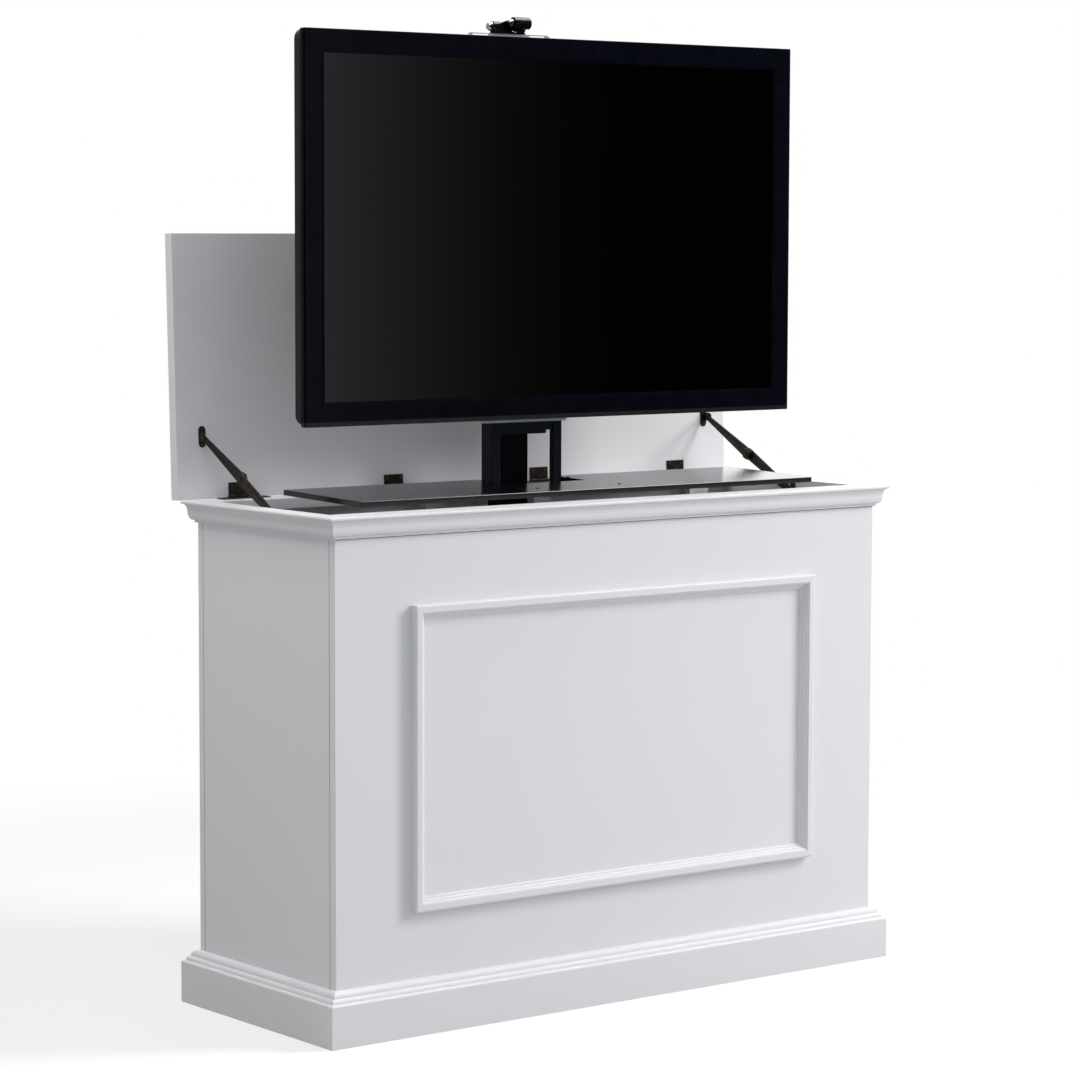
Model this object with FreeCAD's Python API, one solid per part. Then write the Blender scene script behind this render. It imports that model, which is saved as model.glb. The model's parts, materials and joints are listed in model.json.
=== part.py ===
import FreeCAD, Part
import math
import os

# A free-standing cabinet that hides a television and raises it on a telescoping column.
# Millimetres. X runs to the right, Y to the back, Z up. The origin is on the floor, under the
# middle of the cabinet. The lid stands open and the television is up.

# Carcass: boards, rim round the well, floor runners and inner posts
BOX_HALF_X = 610.0
BOX_HALF_Y = 212.0
PANEL = 18.0
BACK_PANEL = 15.0
BOTTOM_Z = 16.0
SEAM = 1.0
RIM_TOP = 893.5
RIM_BOARD = 18.0
WELL_HALF_Y = 170.0
RUNNER_WIDTH = 40.0
RUNNER_PLACES = (-400.0, 0.0, 400.0)
POST_DEPTH = 24.0
POSTS = ((-511.0, 46.0), (-125.0, 38.0), (125.0, 38.0), (511.0, 46.0))
CABLE_HOLE_RADIUS = 30.0
CABLE_HOLE_Z = 140.0
CABLE_HOLE_X = 300.0
GROMMET_WALL = 3.0
GROMMET_FLANGE = 8.0
GROMMET_LIP = 1.6

# Base board: a flat face and a top worked into three rounded steps
BASE_PROUD = 25.0
BASE_FACE = 71.0
BASE_STEP_1 = (19.0, 75.5)
BASE_STEP_2 = (12.5, 83.0)
BASE_STEP_3 = (1.0, 94.0)
BASE_FILLET = 1.0

# Crown: a bead, a swelling curve, a hollow curve and a rounded nose
CROWN_BOTTOM = 856.0
CROWN_BEAD = (4.5, 4.0)
CROWN_TURN_X = 13.5
CROWN_TURN_DROP = 19.0
CROWN_PROUD = 22.5
CROWN_NOSE = 5.0
CROWN_NOSE_ROUND = 1.5

# Mitred frame moulding on the front panel: a rounded flat and three beads that step inwards
FRAME_HALF_X = 454.0
FRAME_BOTTOM = 209.5
FRAME_TOP = 736.5
FRAME_WIDTH = 27.0
FRAME_PROUD = 15.0
FRAME_ROUND = 3.5
FRAME_FLAT = 14.0
FRAME_BEAD_1 = (10.0, 13.5)
FRAME_BEAD_2 = (6.0, 9.0)
FRAME_BEAD_3 = (1.5, 4.5)
FRAME_BEAD_ROUND = 3.5
FRAME_BEAD_STEP = 1.0

# Lid and its hinges
LID_HALF_X = 634.0
LID_THICK = 21.0
LID_REACH = 466.5
LID_TAIL = 2.5
LID_OPEN = 92.0
LID_ROUND = 1.2
LEAF = 1.6
AXIS_Y = 238.0
AXIS_Z = 896.0
AXIS_TO_LID = 2.5
HINGE_PLACES = (-507.0, -169.0, 169.0, 507.0)
LEAF_LENGTH = 42.0
LEAF_WIDTH = 25.0
LEAF_CORNER = 3.0
BASE_PLATE_LENGTH = 100.0
BASE_PLATE_WIDTH = 26.0
KNUCKLE_RADIUS = 2.3
PIN_RADIUS = 1.3
PIN_HEAD = 1.5
KNUCKLE_MIDDLE = 14.0
PLAY = 0.3
SHAFT_PLAY = 0.05
OVERLAP = 1.0

# Folding lid stays
STAY_X = 584.0
STAY_LID_REACH = 108.0
STAY_LID_DROP = 8.5
STAY_WALL_Y = -10.5
STAY_WALL_Z = 871.0
ARM_THICK = 2.0
ARM_GAP = 0.6
ARM_SLIM = 5.0
ARM_WALL_END = 7.0
ARM_BROAD = 11.0
RIB_FROM = 0.16
RIB_TO = 0.8
RIB_SHARE = 0.35
RIB_HEIGHT = 0.9
RIVET_RADIUS = 3.0
RIVET_HEAD = 4.5
RIVET_HEAD_HEIGHT = 1.0
KNUCKLE_DISC = 12.0
KNUCKLE_DISC_FACE = 9.5
KNUCKLE_DISC_THICK = 5.0
KNUCKLE_BOSS = (4.5, 1.2)
WALL_STUB = 2.4
STAY_PIN_RADIUS = 2.0
STAY_PLATE = 1.6
STAY_PLATE_LENGTH = 38.0
STAY_PLATE_END = 7.0
STAY_PLATE_INBOARD = 3.0
EAR_REACH = 19.0
EAR_RADIUS = 7.5
WALL_SCREW_RADIUS = 2.6
WALL_SCREW_FACE = 1.56
WALL_SCREW_HEIGHT = 0.8

# Telescoping column: three tubes in one another, each with its lowest and highest end
COLUMN_Y = 115.25
COLUMN_WALL = 2.5
COLUMN_CORNER = 4.0
OUTER_HALF = (38.5, 27.0)
OUTER_SPAN = (40.0, 828.0)
MIDDLE_HALF = (32.0, 20.5)
MIDDLE_SPAN = (476.0, 1264.0)
INNER_HALF = (25.5, 14.0)
INNER_SPAN = (912.0, 1700.0)
GLIDE_HEIGHT = 40.0
FOOT_HALF_X = 75.0
FOOT_PROUD = 12.0
FOOT_THICK = 6.0
FOOT_CORNER = 8.0

# Gear motor beside the column's foot
GEARBOX_LENGTH = 26.0
GEARBOX_HALF_Y = 22.0
GEARBOX_HEIGHT = 62.0
GEARBOX_CORNER = 4.0
MOTOR_RADIUS = 24.0
MOTOR_LENGTH = 96.0
MOTOR_SHIFT_Y = 2.0
MOTOR_HEIGHT = 30.0
MOTOR_CAP_RADIUS = 19.0
MOTOR_CAP_LENGTH = 8.0
MOTOR_BANDS = (16.0, 80.0)
MOTOR_BAND_WIDTH = 5.0
MOTOR_BAND_DEPTH = 1.0

# Control box on the cabinet floor, with the mains inlet in its left end
CONTROL_X = (-250.0, -110.0)
CONTROL_Y = (102.0, 166.0)
CONTROL_HEIGHT = 38.0
CONTROL_CORNER = 4.0
INLET_DEPTH = 6.0
INLET_BACK = 1.5
INLET_HALF_Y = 13.0
INLET_HALF_Z = 10.0
INLET_RIM = 2.0
INLET_Z = 53.0
BLADE_PLACES = (-7.0, 0.0, 7.0)
BLADE_HALF_Y = 0.8
BLADE_HALF_Z = 3.0
BLADE_SET_BACK = 1.0

# Carriage frame: rails and bars in front of the inner column, and the head plate over both
RAIL_INNER_X = 60.0
RAIL = 20.0
RAIL_FRONT = 57.0
RAIL_DEPTH = 33.0
RAIL_WALL = 2.5
RAIL_BOTTOM = 906.6
RAIL_TOP = 1700.0
RAIL_ROUND = 1.2
BAR_LEVELS = (1004.3, 1360.0, 1660.0)
BAR_HEIGHT = 16.2
BAR_DEPTH = 23.5
TIE_Z = 1001.3
TIE_HALF = 3.0
TIE_END_X = 43.0
TIE_DEPTH = 6.0
HEAD_THICK = 4.0
HEAD_CORNER = 6.0

# Shelf under the television, notched round the column and rails, and the plates that carry it
SHELF_BOTTOM = 901.0
SHELF_TOP = 910.5
SHELF_HALF_X = 513.5
SHELF_FRONT = -149.5
SHELF_BACK = 88.0
SHELF_CORNER = 2.0
SHELF_BEVEL = 0.8
SHELF_TILT = 1.5
NOTCH_HALF_X = 86.0
NOTCH_FRONT = -8.0
NOTCH_CORNER = 2.0
CARRIER_THICK = 3.0
CARRIER_X = (58.0, 104.0)
CARRIER_Y = (-110.0, 72.0)
CARRIER_CORNER = 8.0

# Mount plate on the rails and the two arms on the television
MOUNT_X = -10.0
MOUNT_HALF_X = 99.0
MOUNT_BOTTOM = 1020.5
MOUNT_TOP = 1500.0
MOUNT_THICK = 3.5
MOUNT_CORNER = 6.0
MOUNT_SLOTS = 5
MOUNT_SLOT_START = 70.0
MOUNT_SLOT_PITCH = 85.0
MOUNT_SLOT_HALF_X = 38.0
MOUNT_SLOT_HALF_Z = 14.0
MOUNT_SLOT_CORNER = 10.0
ARM_X = 86.0
MOUNT_ARM_HALF = 13.0
MOUNT_ARM_WALL = 2.5
MOUNT_ARM_HALF_Z = 150.0

# Television
TV_HALF_X = 552.5
TV_BOTTOM = 1031.5
TV_TOP = 1709.5
TV_FRONT = -38.5
TV_TRIM_HEIGHT = 8.0
SCREEN_HALF_X = 510.0
SCREEN_BOTTOM = 1073.7
SCREEN_TOP = 1668.6
SCREEN_SINK = 1.8
BEZEL_DEPTH = 12.0
BEZEL_SIDE_ROUND = 5.0
BEZEL_EDGE_ROUND = 1.2
BEZEL_CORNER = 4.0
BEZEL_SLOPE = 7.0
COVER_DEPTH = 21.5
COVER_INSET = (0.4, 3.0)
COVER_CORNER = 18.0
COVER_BEVEL = 4.0
BULGE_HALF = (430.0, 230.0)
BULGE_SHRINK = 28.0
BULGE_BACK = 22.0
VENT_ROWS = ((200.0, 24), (-200.0, 24))
VENT_PITCH = 16.0
VENT_HALF = (2.2, 11.0)
VENT_DEPTH = 2.5
VENT_GAP_HALF = 120.0
PORT_BAY_X = (-330.0, -150.0)
PORT_BAY_Z = (-120.0, -60.0)
PORT_BAY_DEPTH = 14.0

# Lid rollers on the lift's head: middle x, y, z, radius and length of each, and the x of the
# underside and the radius of its axle's head
PLATE_X = (-96.0, 89.0)
PLATE_Y = 106.0
PLATE_THICK = 3.0
PLATE_TOP = 1723.5
PLATE_CORNER = 9.0
PLATE_SLOTS = (-70.5, 58.5)
PLATE_SLOT_HALF = (18.5, 1.3)
PLATE_SLOT_DROP = 3.2
REAR_ROLLER = (-28.75, 117.0, 1736.5, 9.5, 19.5)
FRONT_ROLLER = (14.0, 98.0, 1743.0, 11.0, 38.0)
REAR_HEAD = (-41.0, 8.5)
FRONT_HEAD = (-8.0, 7.5)
REAR_AXLE_END = -15.5
FRONT_AXLE_END = 34.0
ROLLER_BEVEL = 1.5
AXLE_RADIUS = 3.0
AXLE_HEAD = 5.0
AXLE_HEAD_BEVEL = 2.5
CHEEK = 2.0
CHEEK_PLACES = (-40.0, -17.5, -7.0)
CHEEK_ROOT = 6.0
CHEEK_TOP = 5.9
CHEEK_FOOT = 4.0
CHEEK_FOOT_HALF_Y = 9.0
BRACKET_BASE = 2.0
BRACKET_BASE_HALF_Y = 11.0
BRACKET_X = (-42.0, 27.0)
APRON_Y = (105.6, 107.1)
APRON_LEFT_RISE = 13.5
APRON_TOP = 1748.0
APRON_TOP_X = (-10.0, -6.0)
APRON_LOW = 1733.5
APRON_LEAN = 6.0

X_DIR = FreeCAD.Vector(1, 0, 0)
Y_DIR = FreeCAD.Vector(0, 1, 0)
Z_DIR = FreeCAD.Vector(0, 0, 1)
QUARTER = 90.0
STRAIGHT = 0.999
NEAR = 0.01
FLOOR_TOP = BOTTOM_Z + PANEL
TV_MIDDLE = (TV_BOTTOM + TV_TOP) / 2


def point(x, y, z):
    return FreeCAD.Vector(x, y, z)


def box(x_span, y_span, z_span):
    """A block between two limits on each axis."""
    sizes = [span[1] - span[0] for span in (x_span, y_span, z_span)]
    return Part.makeBox(*sizes, point(x_span[0], y_span[0], z_span[0]))


def about(middle, half):
    return (middle - half, middle + half)


def rod(radius, start, direction, length):
    return Part.makeCylinder(radius, length, start, direction)


def joined(shapes):
    """One solid from touching or overlapping shapes."""
    whole = shapes[0]
    for shape in shapes[1:]:
        whole = whole.fuse(shape)
    return whole.removeSplitter()


def group(shapes):
    """Separate solids that share one node."""
    return Part.makeCompound(shapes)


def turned(shape, angle, direction=Z_DIR, centre=FreeCAD.Vector()):
    copy = shape.copy()
    copy.rotate(centre, direction, angle)
    return copy


def moved(shape, x=0.0, y=0.0, z=0.0):
    copy = shape.copy()
    copy.translate(point(x, y, z))
    return copy


def mirrored(shape):
    """The matching piece on the other side of the cabinet's middle plane."""
    return shape.mirror(FreeCAD.Vector(), X_DIR)


def edges_along(shape, direction):
    """The straight edges that run along a direction."""
    edges = []
    for edge in shape.Edges:
        if abs(edge.tangentAt(edge.FirstParameter).dot(direction)) > STRAIGHT:
            edges.append(edge)
    return edges


def edges_at(shape, axis, level):
    """The edges that lie in the plane where one axis has a value."""
    edges = []
    for edge in shape.Edges:
        low, high = {
            "x": (edge.BoundBox.XMin, edge.BoundBox.XMax),
            "y": (edge.BoundBox.YMin, edge.BoundBox.YMax),
            "z": (edge.BoundBox.ZMin, edge.BoundBox.ZMax),
        }[axis]
        if abs(low - level) < NEAR and abs(high - level) < NEAR:
            edges.append(edge)
    return edges


def rounded(shape, radius, direction):
    """The shape with its edges along a direction rounded."""
    return shape.makeFillet(radius, edges_along(shape, direction))


def toward(start, end, length):
    """The point at a distance from the start on the way to the end."""
    return start + (end - start) * (length / start.distanceToPoint(end))


def arc_about(centre, start, end):
    """The shorter arc between two points about a centre."""
    crown_point = toward(centre, (start + end) * 0.5, centre.distanceToPoint(start))
    return Part.Arc(start, crown_point, end).toShape()


def quarter_turn(start, corner, end):
    """A quarter turn inside a corner. Unequal legs take a wide arc that runs into a tight one."""
    centre = start + end - corner
    wide_end, tight_end = sorted((start, end), key=centre.distanceToPoint)
    short = centre.distanceToPoint(wide_end)
    long = centre.distanceToPoint(tight_end)
    if long - short < NEAR:
        return [arc_about(centre, start, end)]
    tight = (short * short / long + short) / 2
    wide = ((long - tight) ** 2 + short ** 2 - tight ** 2) / (2 * (short - tight))
    wide_centre = toward(wide_end, centre, wide)
    tight_centre = toward(tight_end, centre, tight)
    meeting = toward(wide_centre, tight_centre, wide)
    if wide_end == start:
        return [arc_about(wide_centre, start, meeting), arc_about(tight_centre, meeting, end)]
    return [arc_about(tight_centre, start, meeting), arc_about(wide_centre, meeting, end)]


def profile(*steps):
    """A face in the XZ plane. A step is a point, or a corner and an end joined by a quarter turn."""
    edges = []
    here = point(steps[0][0], 0, steps[0][1])
    for step in steps[1:] + (steps[0],):
        end = point(step[-2], 0, step[-1])
        if len(step) == 2:
            edges.append(Part.makeLine(here, end))
        else:
            edges += quarter_turn(here, point(step[0], 0, step[1]), end)
        here = end
    return Part.Face(Part.Wire(edges))


def mitred_piece(face, reference, half_length, proud, z_span):
    """A moulding on a wall at x = reference, cut at 45 degrees at both ends."""
    far = half_length + proud
    run = moved(face, reference, -far, 0).extrude(point(0, 2 * far, 0))
    outer = reference + proud
    corners = [(reference, -half_length), (outer, -far), (outer, far), (reference, half_length)]
    wire = Part.makePolygon([point(x, y, z_span[0]) for x, y in corners + corners[:1]])
    wedge = Part.Face(wire).extrude(point(0, 0, z_span[1] - z_span[0]))
    return run.common(wedge)


def mitred_ring(face, half_x, half_y, proud, z_span):
    """The four mitred pieces round a rectangle, as right, rear, left and front."""
    side = mitred_piece(face, half_x, half_y, proud, z_span)
    end = mitred_piece(face, half_y, half_x, proud, z_span)
    return {
        "right": side,
        "rear": turned(end, QUARTER),
        "left": turned(side, 2 * QUARTER),
        "front": turned(end, -QUARTER),
    }


def base_boards():
    """Base boards with their stepped tops."""
    x1, z1 = BASE_STEP_1
    x2, z2 = BASE_STEP_2
    x3, z3 = BASE_STEP_3
    face = profile(
        (0, 0), (BASE_PROUD, 0), (BASE_PROUD, BASE_FACE),
        (BASE_PROUD, z1, x1, z1), (x1, z1 + BASE_FILLET), (x1, z2, x2, z2),
        (x2, z2 + BASE_FILLET), (x2, z3, x3, z3), (0, z3),
    )
    ring = mitred_ring(face, BOX_HALF_X, BOX_HALF_Y, BASE_PROUD, (0, z3))
    return {"base_board_" + side: piece for side, piece in ring.items()}


def crown():
    """Crown moulding under the lid."""
    bead_x, bead_height = CROWN_BEAD
    swell_low = CROWN_BOTTOM + bead_height
    turn_z = RIM_TOP - CROWN_TURN_DROP
    nose_low = RIM_TOP - CROWN_NOSE
    nose_back = CROWN_PROUD - CROWN_NOSE_ROUND
    nose_middle = RIM_TOP - CROWN_NOSE / 2
    face = profile(
        (0, CROWN_BOTTOM), (bead_x, CROWN_BOTTOM), (bead_x, swell_low),
        (CROWN_TURN_X, swell_low, CROWN_TURN_X, turn_z),
        (CROWN_TURN_X, nose_low, nose_back, nose_low),
        (CROWN_PROUD, nose_low, CROWN_PROUD, nose_middle),
        (CROWN_PROUD, RIM_TOP, nose_back, RIM_TOP), (0, RIM_TOP),
    )
    ring = mitred_ring(face, BOX_HALF_X, BOX_HALF_Y, CROWN_PROUD, (CROWN_BOTTOM, RIM_TOP))
    return {"crown_" + side: piece for side, piece in ring.items()}


def front_frame():
    """Picture frame moulding on the front panel."""
    x1, z1 = FRAME_BEAD_1
    x2, z2 = FRAME_BEAD_2
    x3, z3 = FRAME_BEAD_3
    face = profile(
        (0, 0), (FRAME_WIDTH, 0), (FRAME_WIDTH, FRAME_PROUD - FRAME_ROUND),
        (FRAME_WIDTH, FRAME_PROUD, FRAME_WIDTH - FRAME_ROUND, FRAME_PROUD),
        (FRAME_FLAT, FRAME_PROUD), (FRAME_FLAT, z1),
        (x1, z1, x1, z1 - FRAME_BEAD_ROUND), (x1, z2),
        (x2, z2, x2, z2 - FRAME_BEAD_ROUND), (x2, z3),
        (x3, z3, x3, z3 - FRAME_BEAD_ROUND), (0, FRAME_BEAD_STEP),
    )
    half_height = (FRAME_TOP - FRAME_BOTTOM) / 2
    ring = mitred_ring(
        face, FRAME_HALF_X - FRAME_WIDTH, half_height - FRAME_WIDTH, FRAME_WIDTH, (0, FRAME_PROUD)
    )
    names = {"right": "right", "left": "left", "front": "bottom", "rear": "top"}
    pieces = {}
    for side, piece in ring.items():
        stood = turned(piece, QUARTER, X_DIR)
        place = moved(stood, 0, -BOX_HALF_Y, (FRAME_TOP + FRAME_BOTTOM) / 2)
        pieces["panel_moulding_" + names[side]] = place
    return pieces


def seamed(board, y):
    """A board whose two outer upright edges at one y are chamfered, where boards meet."""
    outer = []
    for edge in edges_along(board, Z_DIR):
        at_corner = BOX_HALF_X - abs(edge.BoundBox.Center.x) < NEAR
        if at_corner and abs(edge.BoundBox.Center.y - y) < NEAR:
            outer.append(edge)
    return board.makeChamfer(SEAM, outer)


def carcass():
    """Panels, the rails round the well, inner posts, floor runners."""
    panel_top = RIM_TOP - RIM_BOARD
    inner_x = BOX_HALF_X - PANEL
    front_back = -BOX_HALF_Y + PANEL
    back_front = BOX_HALF_Y - BACK_PANEL
    tall = (BOTTOM_Z, panel_top)
    wide = (-BOX_HALF_X, BOX_HALF_X)
    side = box((inner_x, BOX_HALF_X), (front_back, back_front), tall)
    side = seamed(seamed(side, front_back), back_front)
    front = seamed(box(wide, (-BOX_HALF_Y, front_back), tall), front_back)
    back = seamed(box(wide, (back_front, BOX_HALF_Y), tall), back_front)
    hole = rod(CABLE_HOLE_RADIUS, point(CABLE_HOLE_X, 0, CABLE_HOLE_Z), Y_DIR, 2 * BOX_HALF_Y)
    runners = []
    for x in RUNNER_PLACES:
        runners.append(box(about(x, RUNNER_WIDTH / 2), (front_back, back_front), (0, BOTTOM_Z)))
    posts = []
    post_y = (back_front - POST_DEPTH, back_front)
    for x, width in POSTS:
        posts.append(box(about(x, width / 2), post_y, (FLOOR_TOP, panel_top)))
    long_rail = box(wide, (WELL_HALF_Y, BOX_HALF_Y), (panel_top, RIM_TOP))
    short_rail = box((inner_x, BOX_HALF_X), about(0, WELL_HALF_Y), (panel_top, RIM_TOP))
    return {
        "front_panel": front,
        "back_panel": back.cut(hole),
        "side_panel_right": side,
        "side_panel_left": mirrored(side),
        "bottom_panel": box((-inner_x, inner_x), (front_back, back_front), (BOTTOM_Z, FLOOR_TOP)),
        "floor_runners": group(runners),
        "back_posts": group(posts),
        "top_rail_rear": long_rail,
        "top_rail_front": turned(long_rail, 2 * QUARTER),
        "top_rail_right": short_rail,
        "top_rail_left": mirrored(short_rail),
    }


def cable_grommet():
    """Flanged ring that lines the cable hole in the back panel."""
    start = point(CABLE_HOLE_X, BOX_HALF_Y - BACK_PANEL, CABLE_HOLE_Z)
    flange_start = start + Y_DIR * BACK_PANEL
    sleeve = rod(CABLE_HOLE_RADIUS, start, Y_DIR, BACK_PANEL)
    flange = rod(CABLE_HOLE_RADIUS + GROMMET_FLANGE, flange_start, Y_DIR, GROMMET_LIP)
    bore = rod(CABLE_HOLE_RADIUS - GROMMET_WALL, start, Y_DIR, 2 * BACK_PANEL)
    return joined([sleeve, flange]).cut(bore)


def opened(shape):
    """Swing a piece of the closed lid up about the hinge axis."""
    return turned(shape, -LID_OPEN, X_DIR, point(0, AXIS_Y, AXIS_Z))


def lid_board():
    """Plain board with softened edges."""
    low = AXIS_Z + AXIS_TO_LID
    deep = (AXIS_Y - LID_REACH, AXIS_Y + LID_TAIL)
    board = box(about(0, LID_HALF_X), deep, (low, low + LID_THICK))
    board = rounded(board, LID_ROUND, X_DIR)
    ends = edges_at(board, "x", -LID_HALF_X) + edges_at(board, "x", LID_HALF_X)
    return opened(board.makeChamfer(LID_ROUND / 2, ends))


def barrel(x_span, bore_radius):
    """One knuckle of a hinge, bored for its pin."""
    start = point(x_span[0], AXIS_Y, AXIS_Z)
    length = x_span[1] - x_span[0]
    return rod(KNUCKLE_RADIUS, start, X_DIR, length).cut(rod(bore_radius, start, X_DIR, length))


def hinge_base_leaf(middle):
    """Long plate on the rear rim with the two outer knuckles."""
    edge = LEAF_LENGTH / 2
    inner = KNUCKLE_MIDDLE / 2 + PLAY
    plate_back = AXIS_Y - KNUCKLE_RADIUS - PLAY
    plate_y = (plate_back - BASE_PLATE_WIDTH, plate_back)
    plate = box(about(0, BASE_PLATE_LENGTH / 2), plate_y, (RIM_TOP, RIM_TOP + LEAF))
    pieces = [rounded(plate, LEAF_CORNER, Z_DIR)]
    tongue_z = (AXIS_Z - KNUCKLE_RADIUS, RIM_TOP + LEAF)
    for span in ((-edge, -inner), (inner, edge)):
        tongue = box(span, (plate_back - OVERLAP, AXIS_Y), tongue_z)
        axis_hole = rod(PIN_RADIUS, point(span[0], AXIS_Y, AXIS_Z), X_DIR, span[1] - span[0])
        pieces.append(tongue.cut(axis_hole))
        pieces.append(barrel(span, PIN_RADIUS))
    return moved(joined(pieces), middle)


def hinge_lid_leaf(middle):
    """Short plate on the lid with the middle knuckle."""
    half = KNUCKLE_MIDDLE / 2
    top = AXIS_Z + AXIS_TO_LID
    start = AXIS_Y - KNUCKLE_RADIUS - PLAY
    bore = PIN_RADIUS + SHAFT_PLAY
    plate = box(about(0, LEAF_LENGTH / 2), (AXIS_Y - LEAF_WIDTH, start), (top - LEAF, top))
    tongue = box(about(0, half), (start - OVERLAP, AXIS_Y), (top - LEAF, AXIS_Z + KNUCKLE_RADIUS))
    hole = rod(bore, point(-half, AXIS_Y, AXIS_Z), X_DIR, KNUCKLE_MIDDLE)
    leaf = joined([plate, tongue.cut(hole), barrel((-half, half), bore)])
    return moved(opened(leaf), middle)


def hinge_pin(middle):
    """Pin with a small head at each end."""
    half = LEAF_LENGTH / 2
    pieces = [rod(PIN_RADIUS, point(-half, AXIS_Y, AXIS_Z), X_DIR, LEAF_LENGTH)]
    for way in (-1, 1):
        start = point(way * half, AXIS_Y, AXIS_Z)
        pieces.append(rod(KNUCKLE_RADIUS, start, X_DIR * way, PIN_HEAD))
    return moved(joined(pieces), middle)


def hinges():
    """Four butt hinges with loose pins."""
    return {
        "hinge_rim_leaves": group([hinge_base_leaf(x) for x in HINGE_PLACES]),
        "hinge_lid_leaves": group([hinge_lid_leaf(x) for x in HINGE_PLACES]),
        "hinge_pins": group([hinge_pin(x) for x in HINGE_PLACES]),
    }


def stay_points():
    """Lid pivot, knuckle and wall pivot of a stay in the YZ plane, with the stay straight."""
    closed_y = AXIS_Y - STAY_LID_REACH
    closed_z = AXIS_Z + AXIS_TO_LID - STAY_LID_DROP
    lid_pivot = opened(Part.Vertex(point(0, closed_y, closed_z))).Point
    wall_pivot = point(0, STAY_WALL_Y, STAY_WALL_Z)
    knuckle = (lid_pivot + wall_pivot) * 0.5
    return lid_pivot, knuckle, wall_pivot


def tapered_plate(start, start_radius, end, end_radius, x, thick):
    """Flat link in the YZ plane, round at both ends, whose sides run straight between the rounds."""
    along = end - start
    slope = math.asin((end_radius - start_radius) / along.Length)
    unit = along * (1 / along.Length)
    across = X_DIR.cross(unit)
    corners = []
    for side in (1, -1):
        lean = across * (side * math.cos(slope)) - unit * math.sin(slope)
        corners.append((start + lean * start_radius, end + lean * end_radius))
    (a, b), (d, c) = corners
    edges = [
        Part.makeLine(a, b),
        Part.Arc(b, end + unit * end_radius, c).toShape(),
        Part.makeLine(c, d),
        Part.Arc(d, start - unit * start_radius, a).toShape(),
    ]
    face = Part.Face(Part.Wire(edges))
    return moved(face, x).extrude(point(thick, 0, 0))


def arm(start, start_radius, end, end_radius, x, raised_side):
    """Pressed arm: a tapered link with a rib raised on one face and hollow on the other."""
    along = end - start
    link = tapered_plate(start, start_radius, end, end_radius, x, ARM_THICK)
    rib_start = start + along * RIB_FROM
    rib_end = start + along * RIB_TO
    slim = start_radius * RIB_SHARE
    broad = end_radius * RIB_SHARE
    low_side = tapered_plate(rib_start, slim, rib_end, broad, x - RIB_HEIGHT, RIB_HEIGHT)
    if raised_side < 0:
        return joined([link, low_side]).cut(moved(low_side, ARM_THICK))
    return joined([link, moved(low_side, ARM_THICK + RIB_HEIGHT)]).cut(moved(low_side, RIB_HEIGHT))


def upper_arm(lid_pivot, knuckle, x):
    """Arm from the lid bracket to the knuckle, bored at both ends."""
    link = arm(lid_pivot, ARM_SLIM, knuckle, ARM_BROAD, x, -1)
    for place, radius in ((lid_pivot, STAY_PIN_RADIUS), (knuckle, RIVET_RADIUS)):
        start = place + X_DIR * (x - ARM_THICK)
        link = link.cut(rod(radius + SHAFT_PLAY, start, X_DIR, 3 * ARM_THICK))
    return link


def lower_arm(knuckle, wall_pivot, x):
    """Arm from the knuckle to the wall, with the knuckle's rivet and disc and the wall rivet."""
    outer_face = x + ARM_THICK
    disc_start = knuckle + X_DIR * (x - ARM_THICK - 2 * ARM_GAP)
    wall_start = wall_pivot + X_DIR * x
    disc = Part.makeCone(KNUCKLE_DISC, KNUCKLE_DISC_FACE, KNUCKLE_DISC_THICK, disc_start, -X_DIR)
    boss_radius, boss_height = KNUCKLE_BOSS
    return joined([
        arm(wall_pivot, ARM_WALL_END, knuckle, ARM_BROAD, x, 1),
        rod(RIVET_RADIUS, disc_start, X_DIR, outer_face - disc_start.x),
        disc,
        rod(boss_radius, disc_start - X_DIR * KNUCKLE_DISC_THICK, -X_DIR, boss_height),
        rod(RIVET_HEAD, knuckle + X_DIR * outer_face, X_DIR, RIVET_HEAD_HEIGHT),
        rod(RIVET_HEAD, wall_start, -X_DIR, RIVET_HEAD_HEIGHT),
        rod(RIVET_RADIUS, wall_start, X_DIR, ARM_THICK + WALL_STUB),
    ])


def lid_bracket(lid_pivot):
    """Screwed plate on the lid, with a round-ended ear and the rivet that carries the upper arm."""
    low = AXIS_Z + AXIS_TO_LID
    middle_y = AXIS_Y - STAY_LID_REACH
    reach = STAY_PLATE_LENGTH / 2 - STAY_PLATE_END
    start = point(0, middle_y - reach, 0)
    end = point(0, middle_y + reach, 0)
    flat = tapered_plate(start, STAY_PLATE_END, end, STAY_PLATE_END, 0, STAY_PLATE)
    flat = turned(flat, QUARTER, Y_DIR)
    ear_x = STAY_X + ARM_THICK / 2 + PLAY
    ear_low = low - EAR_REACH + EAR_RADIUS
    ear = box((ear_x, ear_x + STAY_PLATE), about(middle_y, EAR_RADIUS), (ear_low, low - STAY_PLATE))
    round_end = rod(EAR_RADIUS, point(ear_x, middle_y, ear_low), X_DIR, STAY_PLATE)
    head_x = STAY_X - ARM_THICK / 2 - PLAY
    return joined([
        opened(moved(flat, STAY_X - STAY_PLATE_INBOARD, 0, low)),
        opened(joined([ear, round_end])),
        rod(STAY_PIN_RADIUS, lid_pivot + X_DIR * head_x, X_DIR, ear_x - head_x),
        rod(RIVET_HEAD, lid_pivot + X_DIR * head_x, -X_DIR, RIVET_HEAD_HEIGHT),
    ])


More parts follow.
